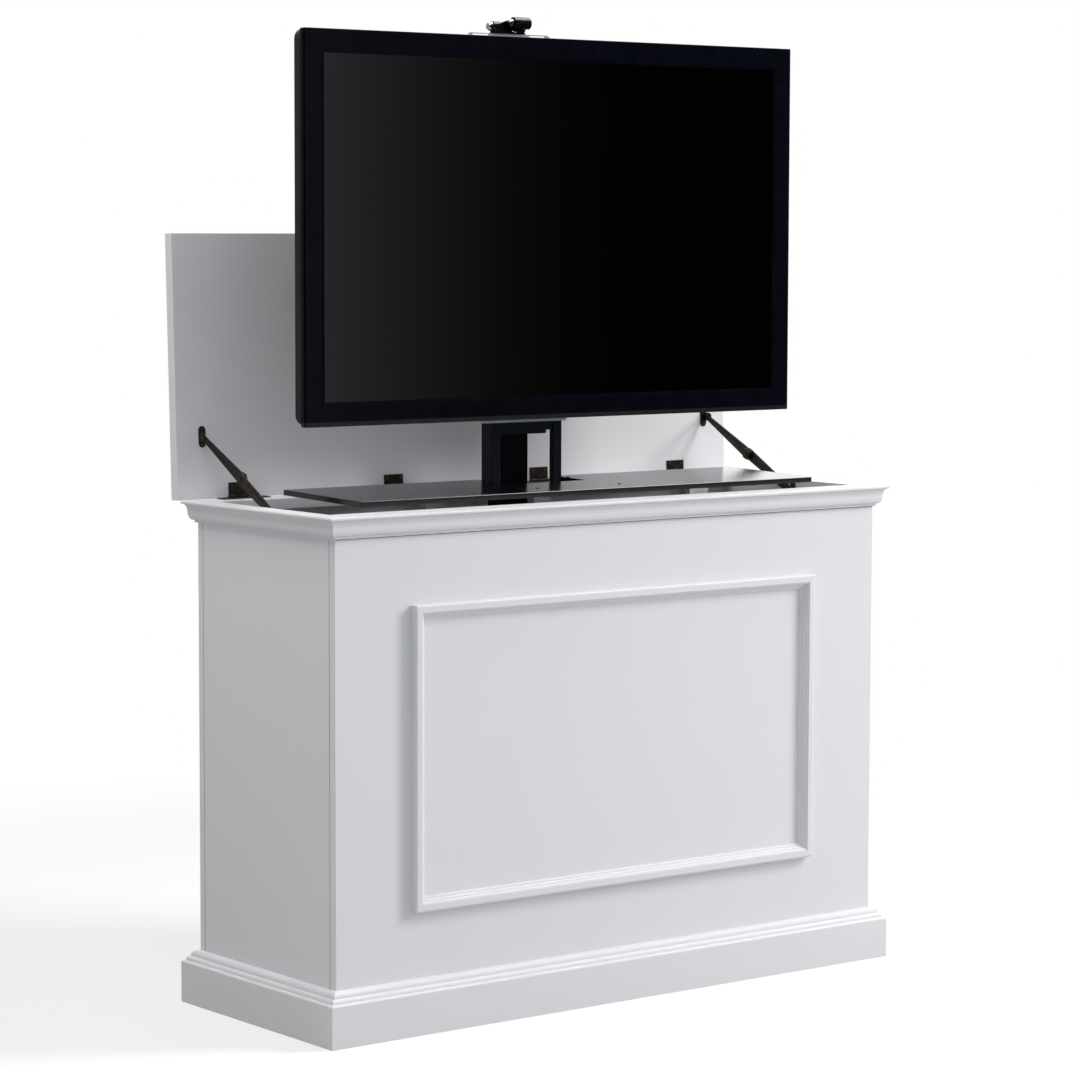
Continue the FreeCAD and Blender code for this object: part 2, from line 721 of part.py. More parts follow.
def wall_plate(wall_pivot):
    """Plate on the inner side wall beside the lower arm's pivot, with two screw heads."""
    face = BOX_HALF_X - PANEL - STAY_PLATE
    reach = STAY_PLATE_LENGTH / 2 - STAY_PLATE_END
    ends = [wall_pivot - Z_DIR * reach, wall_pivot + Z_DIR * reach]
    pieces = [tapered_plate(ends[0], STAY_PLATE_END, ends[1], STAY_PLATE_END, face, STAY_PLATE)]
    for end in ends:
        place = end + X_DIR * face
        pieces.append(
            Part.makeCone(WALL_SCREW_RADIUS, WALL_SCREW_FACE, WALL_SCREW_HEIGHT, place, -X_DIR)
        )
    return joined(pieces)


def stays():
    """Two folding stays: bracket on the lid, upper arm, lower arm, wall plate."""
    lid_pivot, knuckle, wall_pivot = stay_points()
    upper_x = STAY_X - ARM_THICK / 2
    upper = upper_arm(lid_pivot, knuckle, upper_x)
    lower = lower_arm(knuckle, wall_pivot, upper_x + ARM_THICK + ARM_GAP)
    bracket = lid_bracket(lid_pivot)
    plate = wall_plate(wall_pivot)
    return {
        "stay_upper_right": upper,
        "stay_upper_left": mirrored(upper),
        "stay_lower_right": lower,
        "stay_lower_left": mirrored(lower),
        "stay_lid_brackets": group([bracket, mirrored(bracket)]),
        "stay_wall_plates": group([plate, mirrored(plate)]),
    }


def column_block(half, z_span, corner, less=0.0):
    """Block of a column section's outline, made smaller all round by a distance."""
    block = box(about(0, half[0] - less), about(COLUMN_Y, half[1] - less), z_span)
    return rounded(block, corner, Z_DIR)


def tube(half, z_span):
    """Length of rectangular column with rounded corners."""
    outer = column_block(half, z_span, COLUMN_CORNER)
    return outer.cut(column_block(half, z_span, COLUMN_CORNER - COLUMN_WALL, COLUMN_WALL))


def glide(half, sliding_half, top):
    """Plastic collar inside the mouth of a column section that guides the next section."""
    z_span = (top - GLIDE_HEIGHT, top)
    collar = column_block(half, z_span, COLUMN_CORNER - COLUMN_WALL, COLUMN_WALL)
    return collar.cut(column_block(sliding_half, z_span, COLUMN_CORNER, -PLAY))


def lift_foot():
    """Foot plate of the lift."""
    deep = about(COLUMN_Y, OUTER_HALF[1] + FOOT_PROUD)
    plate = box(about(0, FOOT_HALF_X), deep, (FLOOR_TOP, FLOOR_TOP + FOOT_THICK))
    return rounded(plate, FOOT_CORNER, Z_DIR)


def lift_drive():
    """Gearbox on the column's foot with the banded motor lying beside it."""
    foot_top = FLOOR_TOP + FOOT_THICK
    start_x = OUTER_HALF[0]
    end_x = start_x + GEARBOX_LENGTH
    gearbox = box(
        (start_x, end_x), about(COLUMN_Y, GEARBOX_HALF_Y), (foot_top, foot_top + GEARBOX_HEIGHT)
    )
    axis = point(end_x, COLUMN_Y + MOTOR_SHIFT_Y, foot_top + MOTOR_HEIGHT)
    can = rod(MOTOR_RADIUS, axis, X_DIR, MOTOR_LENGTH)
    for band in MOTOR_BANDS:
        band_start = axis + X_DIR * band
        ring = rod(MOTOR_RADIUS, band_start, X_DIR, MOTOR_BAND_WIDTH)
        core = rod(MOTOR_RADIUS - MOTOR_BAND_DEPTH, band_start, X_DIR, MOTOR_BAND_WIDTH)
        can = can.cut(ring.cut(core))
    cap_start = axis + X_DIR * MOTOR_LENGTH
    cap = Part.makeCone(MOTOR_RADIUS, MOTOR_CAP_RADIUS, MOTOR_CAP_LENGTH, cap_start, X_DIR)
    return joined([rounded(gearbox, GEARBOX_CORNER, X_DIR), can, cap])


def inlet_block(start_x, end_x, less=0.0):
    """Block of the mains inlet's outline, made smaller all round by a distance."""
    middle_y = (CONTROL_Y[0] + CONTROL_Y[1]) / 2
    return box(
        (start_x, end_x), about(middle_y, INLET_HALF_Y - less), about(INLET_Z, INLET_HALF_Z - less)
    )


def control_box():
    """Lift control box, open at its left end for the inlet."""
    case = box(CONTROL_X, CONTROL_Y, (FLOOR_TOP, FLOOR_TOP + CONTROL_HEIGHT))
    case = rounded(case, CONTROL_CORNER, Z_DIR)
    return case.cut(inlet_block(CONTROL_X[0], CONTROL_X[0] + INLET_DEPTH))


def power_inlet():
    """Mains inlet: a shroud with three blades."""
    left = CONTROL_X[0]
    back = left + INLET_DEPTH - INLET_BACK
    shroud = inlet_block(left, left + INLET_DEPTH).cut(inlet_block(left, back, INLET_RIM))
    middle_y = (CONTROL_Y[0] + CONTROL_Y[1]) / 2
    pieces = [shroud]
    for place in BLADE_PLACES:
        blade_y = about(middle_y + place, BLADE_HALF_Y)
        pieces.append(box((left + BLADE_SET_BACK, back), blade_y, about(INLET_Z, BLADE_HALF_Z)))
    return joined(pieces)


def lift_body():
    """Fixed part of the lift."""
    return {
        "lift_foot": lift_foot(),
        "outer_column": tube(OUTER_HALF, OUTER_SPAN),
        "outer_glide": glide(OUTER_HALF, MIDDLE_HALF, OUTER_SPAN[1]),
        "lift_drive": lift_drive(),
        "control_box": control_box(),
        "power_inlet": power_inlet(),
    }


def middle_stage():
    """Middle column section and the collar in its mouth."""
    return {
        "middle_column": tube(MIDDLE_HALF, MIDDLE_SPAN),
        "middle_glide": glide(MIDDLE_HALF, INNER_HALF, MIDDLE_SPAN[1]),
    }


def carriage_frame():
    """Inner column, head plate, two hanging angle rails, the bars and the short tie in them."""
    outer_x = RAIL_INNER_X + RAIL
    web_x = outer_x - RAIL_WALL
    back = RAIL_FRONT + RAIL_DEPTH
    flange_back = RAIL_FRONT + RAIL_WALL
    rail = box((RAIL_INNER_X, outer_x), (RAIL_FRONT, back), (RAIL_BOTTOM, RAIL_TOP))
    rail = rounded(rail, RAIL_ROUND, Z_DIR)
    rail = rail.cut(box((0, web_x), (flange_back, back), (RAIL_BOTTOM, RAIL_TOP)))
    bars = []
    for low in BAR_LEVELS:
        bars.append(
            box(about(0, web_x), (flange_back, flange_back + BAR_DEPTH), (low, low + BAR_HEIGHT))
        )
    tie = box((-web_x, TIE_END_X), (flange_back, flange_back + TIE_DEPTH), about(TIE_Z, TIE_HALF))
    tie_end = rod(TIE_HALF, point(TIE_END_X, flange_back, TIE_Z), Y_DIR, TIE_DEPTH)
    head = box(
        about(0, outer_x),
        (RAIL_FRONT, COLUMN_Y + INNER_HALF[1]),
        (RAIL_TOP, RAIL_TOP + HEAD_THICK),
    )
    return {
        "inner_column": tube(INNER_HALF, INNER_SPAN),
        "carriage_rails": group([rail, mirrored(rail)]),
        "carriage_bars": group(bars + [joined([tie, tie_end])]),
        "carriage_head": rounded(head, HEAD_CORNER, Z_DIR),
    }


def shelf():
    """Thin notched shelf that droops a little to the front, and the two plates that carry it."""
    board = box(about(0, SHELF_HALF_X), (SHELF_FRONT, SHELF_BACK), (SHELF_BOTTOM, SHELF_TOP))
    board = rounded(board, SHELF_CORNER, Z_DIR)
    board = board.makeChamfer(SHELF_BEVEL, edges_at(board, "z", SHELF_TOP))
    notch_y = (NOTCH_FRONT, SHELF_BACK + OVERLAP)
    notch = box(about(0, NOTCH_HALF_X), notch_y, (SHELF_BOTTOM, SHELF_TOP))
    front_corners = [e for e in edges_along(notch, Z_DIR) if e.BoundBox.YMax < 0]
    notch = notch.makeFillet(NOTCH_CORNER, front_corners)
    carrier = box(CARRIER_X, CARRIER_Y, (SHELF_BOTTOM - CARRIER_THICK, SHELF_BOTTOM))
    carrier = rounded(carrier, CARRIER_CORNER, Z_DIR)
    front = point(0, SHELF_FRONT, SHELF_BOTTOM)
    return {
        "shelf_board": turned(board.cut(notch), SHELF_TILT, X_DIR, front),
        "shelf_feet": turned(group([carrier, mirrored(carrier)]), SHELF_TILT, X_DIR, front),
    }


def tv_mount():
    """Mount plate on the rails with a column of slots, and the two arms on the television."""
    plate_y = (RAIL_FRONT - MOUNT_THICK, RAIL_FRONT)
    plate = box(about(MOUNT_X, MOUNT_HALF_X), plate_y, (MOUNT_BOTTOM, MOUNT_TOP))
    plate = rounded(plate, MOUNT_CORNER, Y_DIR)
    for row in range(MOUNT_SLOTS):
        z = MOUNT_BOTTOM + MOUNT_SLOT_START + row * MOUNT_SLOT_PITCH
        slot = box(about(0, MOUNT_SLOT_HALF_X), plate_y, about(z, MOUNT_SLOT_HALF_Z))
        plate = plate.cut(rounded(slot, MOUNT_SLOT_CORNER, Y_DIR))
    tall = about(TV_MIDDLE, MOUNT_ARM_HALF_Z)
    web = box(about(ARM_X, MOUNT_ARM_HALF), (BULGE_BACK, plate_y[0]), tall)
    groove_y = (BULGE_BACK + MOUNT_ARM_WALL, plate_y[0])
    channel = web.cut(box(about(ARM_X, MOUNT_ARM_HALF - MOUNT_ARM_WALL), groove_y, tall))
    return {"mount_plate": plate, "mount_arms": group([channel, mirrored(channel)])}


def rectangle(half_x, half_z, y, middle_z):
    """Outline of an upright rectangle."""
    corners = [(-half_x, -half_z), (half_x, -half_z), (half_x, half_z), (-half_x, half_z)]
    return Part.makePolygon([point(x, y, middle_z + z) for x, z in corners + corners[:1]])


def front_block(z_span, end_z):
    """Block behind the television's front plane, rounded at both sides and at one level end."""
    block = box(about(0, TV_HALF_X), (TV_FRONT, TV_FRONT + BEZEL_DEPTH), z_span)
    sides = []
    end = []
    corners = []
    for edge in block.Edges:
        limits = edge.BoundBox
        at_end = abs(limits.Center.z - end_z) < NEAR
        if limits.YMax < TV_FRONT + NEAR and limits.ZLength > NEAR:
            sides.append(edge)
        elif limits.YMax < TV_FRONT + NEAR and at_end:
            end.append(edge)
        elif limits.YLength > NEAR and at_end:
            corners.append(edge)
    rounded_sides = block.makeFillet(BEZEL_SIDE_ROUND, sides)
    rounded_end = block.makeFillet(BEZEL_EDGE_ROUND, end)
    return rounded_sides.common(rounded_end).common(block.makeFillet(BEZEL_CORNER, corners))


def tv_bezel():
    """Front frame: rounded outer edges, and inner edges that slope down to the screen."""
    back = TV_FRONT + BEZEL_DEPTH
    outer = front_block((TV_BOTTOM + TV_TRIM_HEIGHT, TV_TOP), TV_TOP)
    half_z = (SCREEN_TOP - SCREEN_BOTTOM) / 2
    middle_z = (SCREEN_TOP + SCREEN_BOTTOM) / 2
    sink = TV_FRONT + SCREEN_SINK
    wide = rectangle(SCREEN_HALF_X + BEZEL_SLOPE, half_z + BEZEL_SLOPE, TV_FRONT, middle_z)
    narrow = rectangle(SCREEN_HALF_X, half_z, sink, middle_z)
    slope = Part.makeLoft([wide, narrow], True, True)
    window = box(about(0, SCREEN_HALF_X), (TV_FRONT, back), (SCREEN_BOTTOM, SCREEN_TOP))
    return outer.cut(slope).cut(window)


def tv_rear_cover():
    """Rear cover with rounded corners, a raised middle, rows of vents and a bay for plugs."""
    front = TV_FRONT + BEZEL_DEPTH
    back = front + COVER_DEPTH
    in_x, in_z = COVER_INSET
    cover = box(about(0, TV_HALF_X - in_x), (front, back), (TV_BOTTOM + in_z, TV_TOP - in_x))
    cover = rounded(cover, COVER_CORNER, Y_DIR)
    cover = cover.makeChamfer(COVER_BEVEL, edges_at(cover, "y", back))
    half_x, half_z = BULGE_HALF
    low_wire = rectangle(half_x, half_z, back - COVER_BEVEL, TV_MIDDLE)
    high_wire = rectangle(half_x - BULGE_SHRINK, half_z - BULGE_SHRINK, BULGE_BACK, TV_MIDDLE)
    cover = joined([cover, Part.makeLoft([low_wire, high_wire], True, True)])
    bay_x = PORT_BAY_X
    bay_z = (TV_MIDDLE + PORT_BAY_Z[0], TV_MIDDLE + PORT_BAY_Z[1])
    cutters = [box(bay_x, (BULGE_BACK - PORT_BAY_DEPTH, BULGE_BACK), bay_z)]
    for row, count in VENT_ROWS:
        for number in range(count):
            x = (number - (count - 1) / 2) * VENT_PITCH
            slot_z = about(TV_MIDDLE + row * 0.8, VENT_HALF[1])
            cutters.append(
                box(about(x, VENT_HALF[0]), (BULGE_BACK - VENT_DEPTH, BULGE_BACK), slot_z)
            )
    return cover.cut(group(cutters))


def television():
    """Front frame, screen, lower trim and rear cover."""
    back = TV_FRONT + BEZEL_DEPTH
    window = (SCREEN_BOTTOM, SCREEN_TOP)
    trim_z = (TV_BOTTOM, TV_BOTTOM + TV_TRIM_HEIGHT)
    return {
        "tv_bezel": tv_bezel(),
        "tv_screen": box(about(0, SCREEN_HALF_X), (TV_FRONT + SCREEN_SINK, back), window),
        "tv_trim": front_block(trim_z, TV_BOTTOM),
        "tv_rear_cover": tv_rear_cover(),
    }


def roller(place):
    """Soft roller that rides along the underside of the lid."""
    x, y, z, radius, length = place
    bore = AXLE_RADIUS + SHAFT_PLAY
    outline = profile(
        (0, bore), (0, radius - ROLLER_BEVEL), (ROLLER_BEVEL, radius),
        (length - ROLLER_BEVEL, radius), (length, radius - ROLLER_BEVEL), (length, bore),
    )
    return moved(outline.revolve(FreeCAD.Vector(), X_DIR, 360), x - length / 2, y, z)


def axle(place, head, end_x):
    """Turned axle with a bevelled head at its left end."""
    y, z = place[1:3]
    head_x, head_radius = head
    outline = profile(
        (-AXLE_HEAD, 0), (-AXLE_HEAD, head_radius - AXLE_HEAD_BEVEL),
        (AXLE_HEAD_BEVEL - AXLE_HEAD, head_radius), (0, head_radius),
        (0, AXLE_RADIUS), (end_x - head_x, AXLE_RADIUS), (end_x - head_x, 0),
    )
    return moved(outline.revolve(FreeCAD.Vector(), X_DIR, 360), head_x, y, z)


def cheek(x, place):
    """Bracket cheek that rises from the base to one axle."""
    wide = about(x, CHEEK / 2)
    middle_y = PLATE_Y + BRACKET_BASE
    root = point(0, middle_y, PLATE_TOP + CHEEK_FOOT)
    top = point(0, place[1], place[2])
    foot = box(wide, about(middle_y, CHEEK_FOOT_HALF_Y), (PLATE_TOP, PLATE_TOP + CHEEK_FOOT))
    slab = box(wide, (0, 2 * PLATE_Y), (PLATE_TOP, 2 * PLATE_TOP))
    blade = tapered_plate(root, CHEEK_ROOT, top, CHEEK_TOP, wide[0], CHEEK)
    return joined([foot, blade.common(slab)])


def apron():
    """Web along the bracket that rises to the front axle and stays low under the front roller."""
    left, right = BRACKET_X
    face = profile(
        (left, PLATE_TOP), (right, PLATE_TOP), (right + APRON_LEAN, APRON_LOW),
        (APRON_TOP_X[1], APRON_LOW), (APRON_TOP_X[1], APRON_TOP), (APRON_TOP_X[0], APRON_TOP),
        (left, PLATE_TOP + APRON_LEFT_RISE),
    )
    return moved(face, 0, APRON_Y[0], 0).extrude(Y_DIR * (APRON_Y[1] - APRON_Y[0]))


def roller_plate():
    """Slotted plate that stands on the head."""
    plate_y = (PLATE_Y, PLATE_Y + PLATE_THICK)
    plate = box(PLATE_X, plate_y, (RAIL_TOP + HEAD_THICK, PLATE_TOP))
    top_corners = [e for e in edges_along(plate, Y_DIR) if e.BoundBox.ZMin > PLATE_TOP - NEAR]
    right_corner = [e for e in top_corners if e.BoundBox.Center.x > 0]
    plate = plate.makeFillet(PLATE_CORNER, right_corner)
    half_x, half_z = PLATE_SLOT_HALF
    for middle in PLATE_SLOTS:
        slot = box(about(middle, half_x), plate_y, about(PLATE_TOP - PLATE_SLOT_DROP, half_z))
        plate = plate.cut(rounded(slot, half_z - NEAR, Y_DIR))
    return plate


def lid_rollers():
    """Plate on the head, bracket with three cheeks and an apron, two axles and two rollers."""
    base_y = about(PLATE_Y + BRACKET_BASE, BRACKET_BASE_HALF_Y)
    base = box(BRACKET_X, base_y, (PLATE_TOP, PLATE_TOP + BRACKET_BASE))
    pieces = [rounded(base, LEAF_CORNER, Z_DIR), apron()]
    for x, place in zip(CHEEK_PLACES, (REAR_ROLLER, REAR_ROLLER, FRONT_ROLLER)):
        pieces.append(cheek(x, place))
    axles = [
        axle(REAR_ROLLER, REAR_HEAD, REAR_AXLE_END),
        axle(FRONT_ROLLER, FRONT_HEAD, FRONT_AXLE_END),
    ]
    bracket = joined(pieces)
    for piece in axles:
        bracket = bracket.cut(piece)
    return {
        "roller_plate": roller_plate(),
        "roller_bracket": bracket,
        "roller_axles": group(axles),
        "roller_rear": roller(REAR_ROLLER),
        "roller_front": roller(FRONT_ROLLER),
    }


def all_parts():
    """Every piece by its node's name."""
    parts = {"lid_board": lid_board(), "cable_grommet": cable_grommet()}
    makers = (
        carcass, base_boards, crown, front_frame, hinges, stays, lift_body, middle_stage,
        carriage_frame, shelf, tv_mount, television, lid_rollers,
    )
    for make in makers:
        parts.update(make())
    return parts


os.makedirs("parts", exist_ok=True)
for name, shape in all_parts().items():
    shape.exportStep("parts/" + name + ".step")
    print(name, len(shape.Solids), "solids, valid:", shape.isValid())
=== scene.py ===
import json
import math

import bmesh
import bpy
from mathutils import Matrix, Vector


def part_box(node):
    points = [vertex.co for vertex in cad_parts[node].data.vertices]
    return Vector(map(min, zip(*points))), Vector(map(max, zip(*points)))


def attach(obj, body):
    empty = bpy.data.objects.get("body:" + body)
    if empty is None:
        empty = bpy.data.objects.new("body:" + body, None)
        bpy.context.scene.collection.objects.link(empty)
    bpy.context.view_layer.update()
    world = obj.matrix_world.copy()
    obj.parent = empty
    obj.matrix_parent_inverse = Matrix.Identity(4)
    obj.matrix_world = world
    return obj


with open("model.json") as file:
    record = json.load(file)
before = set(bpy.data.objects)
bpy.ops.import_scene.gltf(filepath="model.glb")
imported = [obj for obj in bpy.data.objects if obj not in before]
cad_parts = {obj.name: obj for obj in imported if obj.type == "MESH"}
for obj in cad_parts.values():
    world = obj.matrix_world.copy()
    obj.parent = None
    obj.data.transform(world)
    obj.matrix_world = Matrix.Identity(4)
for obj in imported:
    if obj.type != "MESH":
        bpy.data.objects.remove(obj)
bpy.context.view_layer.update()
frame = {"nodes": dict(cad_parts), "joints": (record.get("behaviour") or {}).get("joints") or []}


# Camera. A long lens at chest height, turned to the front left corner of the cabinet, so that
# the front board, the left side and the inside of the lid all show.
camera_place = Vector((-3.8795, -4.9752, 1.3705))
camera_turn = math.radians(-37.845)
camera_tip = math.radians(90 - 5.095)
camera_roll = math.radians(0.157)
camera_lens = 116.197
camera_sensor = 36.0
camera_far_end = 60.0

bpy.ops.object.select_all(action="DESELECT")
camera_data = bpy.data.cameras.new("camera")
camera_data.lens = camera_lens
camera_data.sensor_width = camera_sensor
camera_data.clip_end = camera_far_end
camera = bpy.data.objects.new("camera", camera_data)
camera.matrix_world = (
    Matrix.Translation(camera_place)
    @ Matrix.Rotation(camera_turn, 4, "Z")
    @ Matrix.Rotation(camera_tip, 4, "X")
    @ Matrix.Rotation(camera_roll, 4, "Z")
)
bpy.context.scene.collection.objects.link(camera)
bpy.context.scene.camera = camera
bpy.context.scene.view_settings.view_transform = "Standard"


# Studio. A pale floor that fades into a white room, a soft glow from all four sides, two broad
# lamps on the right, one above the other, that draw the mouldings, and two more overhead. In
# reflections the room ahead is dark, with a soft band of light to one side and a strip overhead.
front_glow = 0.565
rear_glow = 0.70
left_glow = 0.20
right_glow = 0.30
band_edge = (0.50, 0.64)
band_far_edge = (0.25, 0.32)
band_falloff = 2.7
band_level = 1.1
behind_edge = (-0.25, 0.15)
behind_run = (-0.6, 0.8)
behind_levels = (0.3, 1.9)
behind_top_edge = (0.2, 0.5)
behind_high = 0.3
strip_low_edge = (0.70, 0.73)
strip_high_edge = (0.79, 0.82)
strip_level = 11.0
seen_level = 1.0
plain_tint = (1.0, 1.0, 1.0, 1.0)
cool_front = (0.93, 0.985, 1.06, 1.0)
warm_lamp = (1.02, 1.0, 0.965)
floor_size = 6.0
floor_fade_start = 1.5
floor_fade_end = 2.6
floor_shade = (0.5, 0.5, 0.5, 1.0)
floor_lift = 0.48

room = bpy.data.worlds.new("studio")
room.use_nodes = True
bpy.context.scene.world = room
room_nodes = room.node_tree.nodes
room_links = room.node_tree.links
room_nodes.clear()
rays = room_nodes.new("ShaderNodeLightPath")
way = room_nodes.new("ShaderNodeTexCoord")
split = room_nodes.new("ShaderNodeSeparateXYZ")
room_links.new(way.outputs["Generated"], split.inputs[0])


def room_ramp(axis, edge, levels):
    """A level that runs from one value to another between two places along an axis."""
    ramp = room_nodes.new("ShaderNodeMapRange")
    ramp.inputs["From Min"].default_value, ramp.inputs["From Max"].default_value = edge
    ramp.inputs["To Min"].default_value, ramp.inputs["To Max"].default_value = levels
    room_links.new(split.outputs[axis], ramp.inputs["Value"])
    return ramp.outputs["Result"]


def room_sum(operation, first, second):
    """Two levels of the room's light, or a level and a number, put together."""
    node = room_nodes.new("ShaderNodeMath")
    node.operation = operation
    room_links.new(first, node.inputs[0])
    if isinstance(second, float):
        node.inputs[1].default_value = second
    else:
        room_links.new(second, node.inputs[1])
    return node.outputs[0]


near_half = (-1.0, 0.0)
far_half = (0.0, 1.0)
front_to_back = room_sum(
    "ADD",
    room_ramp("Y", near_half, (front_glow, 0.0)),
    room_ramp("Y", far_half, (0.0, rear_glow)),
)
side_to_side = room_sum(
    "ADD",
    room_ramp("X", near_half, (left_glow, 0.0)),
    room_ramp("X", far_half, (0.0, right_glow)),
)
glow_level = room_sum("ADD", front_to_back, side_to_side)
band = room_sum("POWER", room_ramp("X", band_edge, (1.0, 0.0)), band_falloff)
band = room_sum("MULTIPLY", band, room_ramp("X", band_far_edge, (0.0, band_level)))
behind = room_sum(
    "MULTIPLY", room_ramp("Y", behind_edge, (0.0, 1.0)), room_ramp("X", behind_run, behind_levels)
)
behind = room_sum("MULTIPLY", behind, room_ramp("Z", behind_top_edge, (1.0, behind_high)))
strip = room_sum(
    "MULTIPLY",
    room_ramp("Z", strip_low_edge, (0.0, strip_level)),
    room_ramp("Z", strip_high_edge, (1.0, 0.0)),
)
mirrored_room = room_sum("MAXIMUM", room_sum("MAXIMUM", band, behind), strip)
mirror_level = room_nodes.new("ShaderNodeMix")
room_links.new(glow_level, mirror_level.inputs["A"])
room_links.new(mirrored_room, mirror_level.inputs["B"])
room_links.new(rays.outputs["Is Glossy Ray"], mirror_level.inputs["Factor"])
seen = room_sum("MAXIMUM", rays.outputs["Is Camera Ray"], rays.outputs["Is Transmission Ray"])
level = room_nodes.new("ShaderNodeMix")
level.inputs["B"].default_value = seen_level
room_links.new(mirror_level.outputs["Result"], level.inputs["A"])
room_links.new(seen, level.inputs["Factor"])
tint = room_nodes.new("ShaderNodeMix")
tint.data_type = "RGBA"
plain_end, cool_end = [socket for socket in tint.inputs if socket.type == "RGBA"]
plain_end.default_value = plain_tint
cool_end.default_value = cool_front
ahead = room_sum("SUBTRACT", room_ramp("Y", near_half, (1.0, 0.0)), seen)
room_links.new(ahead, tint.inputs["Factor"])
glow = room_nodes.new("ShaderNodeBackground")
tinted = next(socket for socket in tint.outputs if socket.type == "RGBA")
room_links.new(tinted, glow.inputs["Color"])
room_links.new(level.outputs["Result"], glow.inputs["Strength"])
room_end = room_nodes.new("ShaderNodeOutputWorld")
room_links.new(glow.outputs[0], room_end.inputs["Surface"])


def hang_lamp(name, place, aim_height, size, watts):
    """A soft lamp that points at a spot over the middle of the floor, and isn't mirrored."""
    lamp_data = bpy.data.lights.new(name, "AREA")
    lamp_data.shape = "RECTANGLE"
    lamp_data.size, lamp_data.size_y = size
    lamp_data.energy = watts
    lamp_data.color = warm_lamp
    lamp = bpy.data.objects.new(name, lamp_data)
    place = Vector(place)
    turn = (Vector((0.0, 0.0, aim_height)) - place).to_track_quat("-Z", "Y")
    lamp.matrix_world = Matrix.Translation(place) @ turn.to_matrix().to_4x4()
    lamp.visible_glossy = False
    bpy.context.scene.collection.objects.link(lamp)


hang_lamp("key_lamp", place=(4.8, -2.7, 2.3), aim_height=0.7, size=(1.4, 1.4), watts=110.0)
hang_lamp("high_key_lamp", place=(4.0, -2.6, 4.2), aim_height=0.7, size=(1.6, 1.6), watts=189.0)
hang_lamp("top_lamp", place=(0.0, 0.2, 4.2), aim_height=0.9, size=(2.6, 2.0), watts=15.0)
hang_lamp("left_top_lamp", place=(-1.8, -0.2, 4.0), aim_height=0.6, size=(1.6, 1.6), watts=62.0)

bpy.ops.mesh.primitive_plane_add(size=floor_size, location=(0, 0, 0))
floor = bpy.context.object
floor.name = "floor"
floor_paint = bpy.data.materials.new("floor_paint")
floor_paint.use_nodes = True
floor_nodes = floor_paint.node_tree.nodes
floor_links = floor_paint.node_tree.links
floor_nodes.clear()
where = floor_nodes.new("ShaderNodeTexCoord")
distance = floor_nodes.new("ShaderNodeVectorMath")
distance.operation = "LENGTH"
floor_links.new(where.outputs["Object"], distance.inputs[0])
fade = floor_nodes.new("ShaderNodeMapRange")
fade.interpolation_type = "SMOOTHSTEP"
fade.inputs["From Min"].default_value = floor_fade_start
fade.inputs["From Max"].default_value = floor_fade_end
floor_links.new(distance.outputs["Value"], fade.inputs["Value"])
floor_rays = floor_nodes.new("ShaderNodeLightPath")
only_seen = floor_nodes.new("ShaderNodeMath")
only_seen.operation = "MULTIPLY"
floor_links.new(fade.outputs["Result"], only_seen.inputs[0])
floor_links.new(floor_rays.outputs["Is Camera Ray"], only_seen.inputs[1])
matt = floor_nodes.new("ShaderNodeBsdfDiffuse")
matt.inputs["Color"].default_value = floor_shade
lift_light = floor_nodes.new("ShaderNodeEmission")
lift_level = floor_nodes.new("ShaderNodeMath")
lift_level.operation = "MULTIPLY"
lift_level.inputs[1].default_value = floor_lift
floor_links.new(floor_rays.outputs["Is Camera Ray"], lift_level.inputs[0])
floor_links.new(lift_level.outputs[0], lift_light.inputs["Strength"])
matt_lit = floor_nodes.new("ShaderNodeAddShader")
floor_links.new(matt.outputs[0], matt_lit.inputs[0])
floor_links.new(lift_light.outputs[0], matt_lit.inputs[1])
white = floor_nodes.new("ShaderNodeEmission")
white.inputs["Strength"].default_value = seen_level
floor_mix = floor_nodes.new("ShaderNodeMixShader")
floor_links.new(only_seen.outputs[0], floor_mix.inputs["Fac"])
floor_links.new(matt_lit.outputs[0], floor_mix.inputs[1])
floor_links.new(white.outputs[0], floor_mix.inputs[2])
floor_end = floor_nodes.new("ShaderNodeOutputMaterial")
floor_links.new(floor_mix.outputs[0], floor_end.inputs["Surface"])
floor.data.materials.append(floor_paint)


# Cabinet boards, base, crown and front frame. Fibreboard, sprayed in a satin white lacquer that
# leaves a faint orange peel, with a trace more shade where the coat is thinner.
lacquer_roughness = 0.42
lacquer_shine = 0.4
lacquer_shades = ((0.752, 0.757, 0.784), (0.758, 0.763, 0.790))
lacquer_polish = (0.40, 0.45)
orange_peel_height = 0.00002
noise_low = 0.3
noise_high = 0.7


def finish_of(name, roughness, metallic=0.0, shine=0.5):
    """A new finish with its tree and its main shader."""
    finish = bpy.data.materials.new(name)
    finish.use_nodes = True
    shader = finish.node_tree.nodes["Principled BSDF"]
    shader.inputs["Roughness"].default_value = roughness
    shader.inputs["Metallic"].default_value = metallic
    shader.inputs["Specular IOR Level"].default_value = shine
    return finish, finish.node_tree, shader


def mottle(tree, scale, detail, stretch=(1.0, 1.0, 1.0)):
    """Noise in the object's own space, scaled in features per metre."""
    place = tree.nodes.new("ShaderNodeTexCoord")
    shape = tree.nodes.new("ShaderNodeMapping")
    shape.inputs["Scale"].default_value = stretch
    tree.links.new(place.outputs["Object"], shape.inputs["Vector"])
    noise = tree.nodes.new("ShaderNodeTexNoise")
    noise.inputs["Scale"].default_value = scale
    noise.inputs["Detail"].default_value = detail
    tree.links.new(shape.outputs["Vector"], noise.inputs["Vector"])
    return noise.outputs["Fac"]


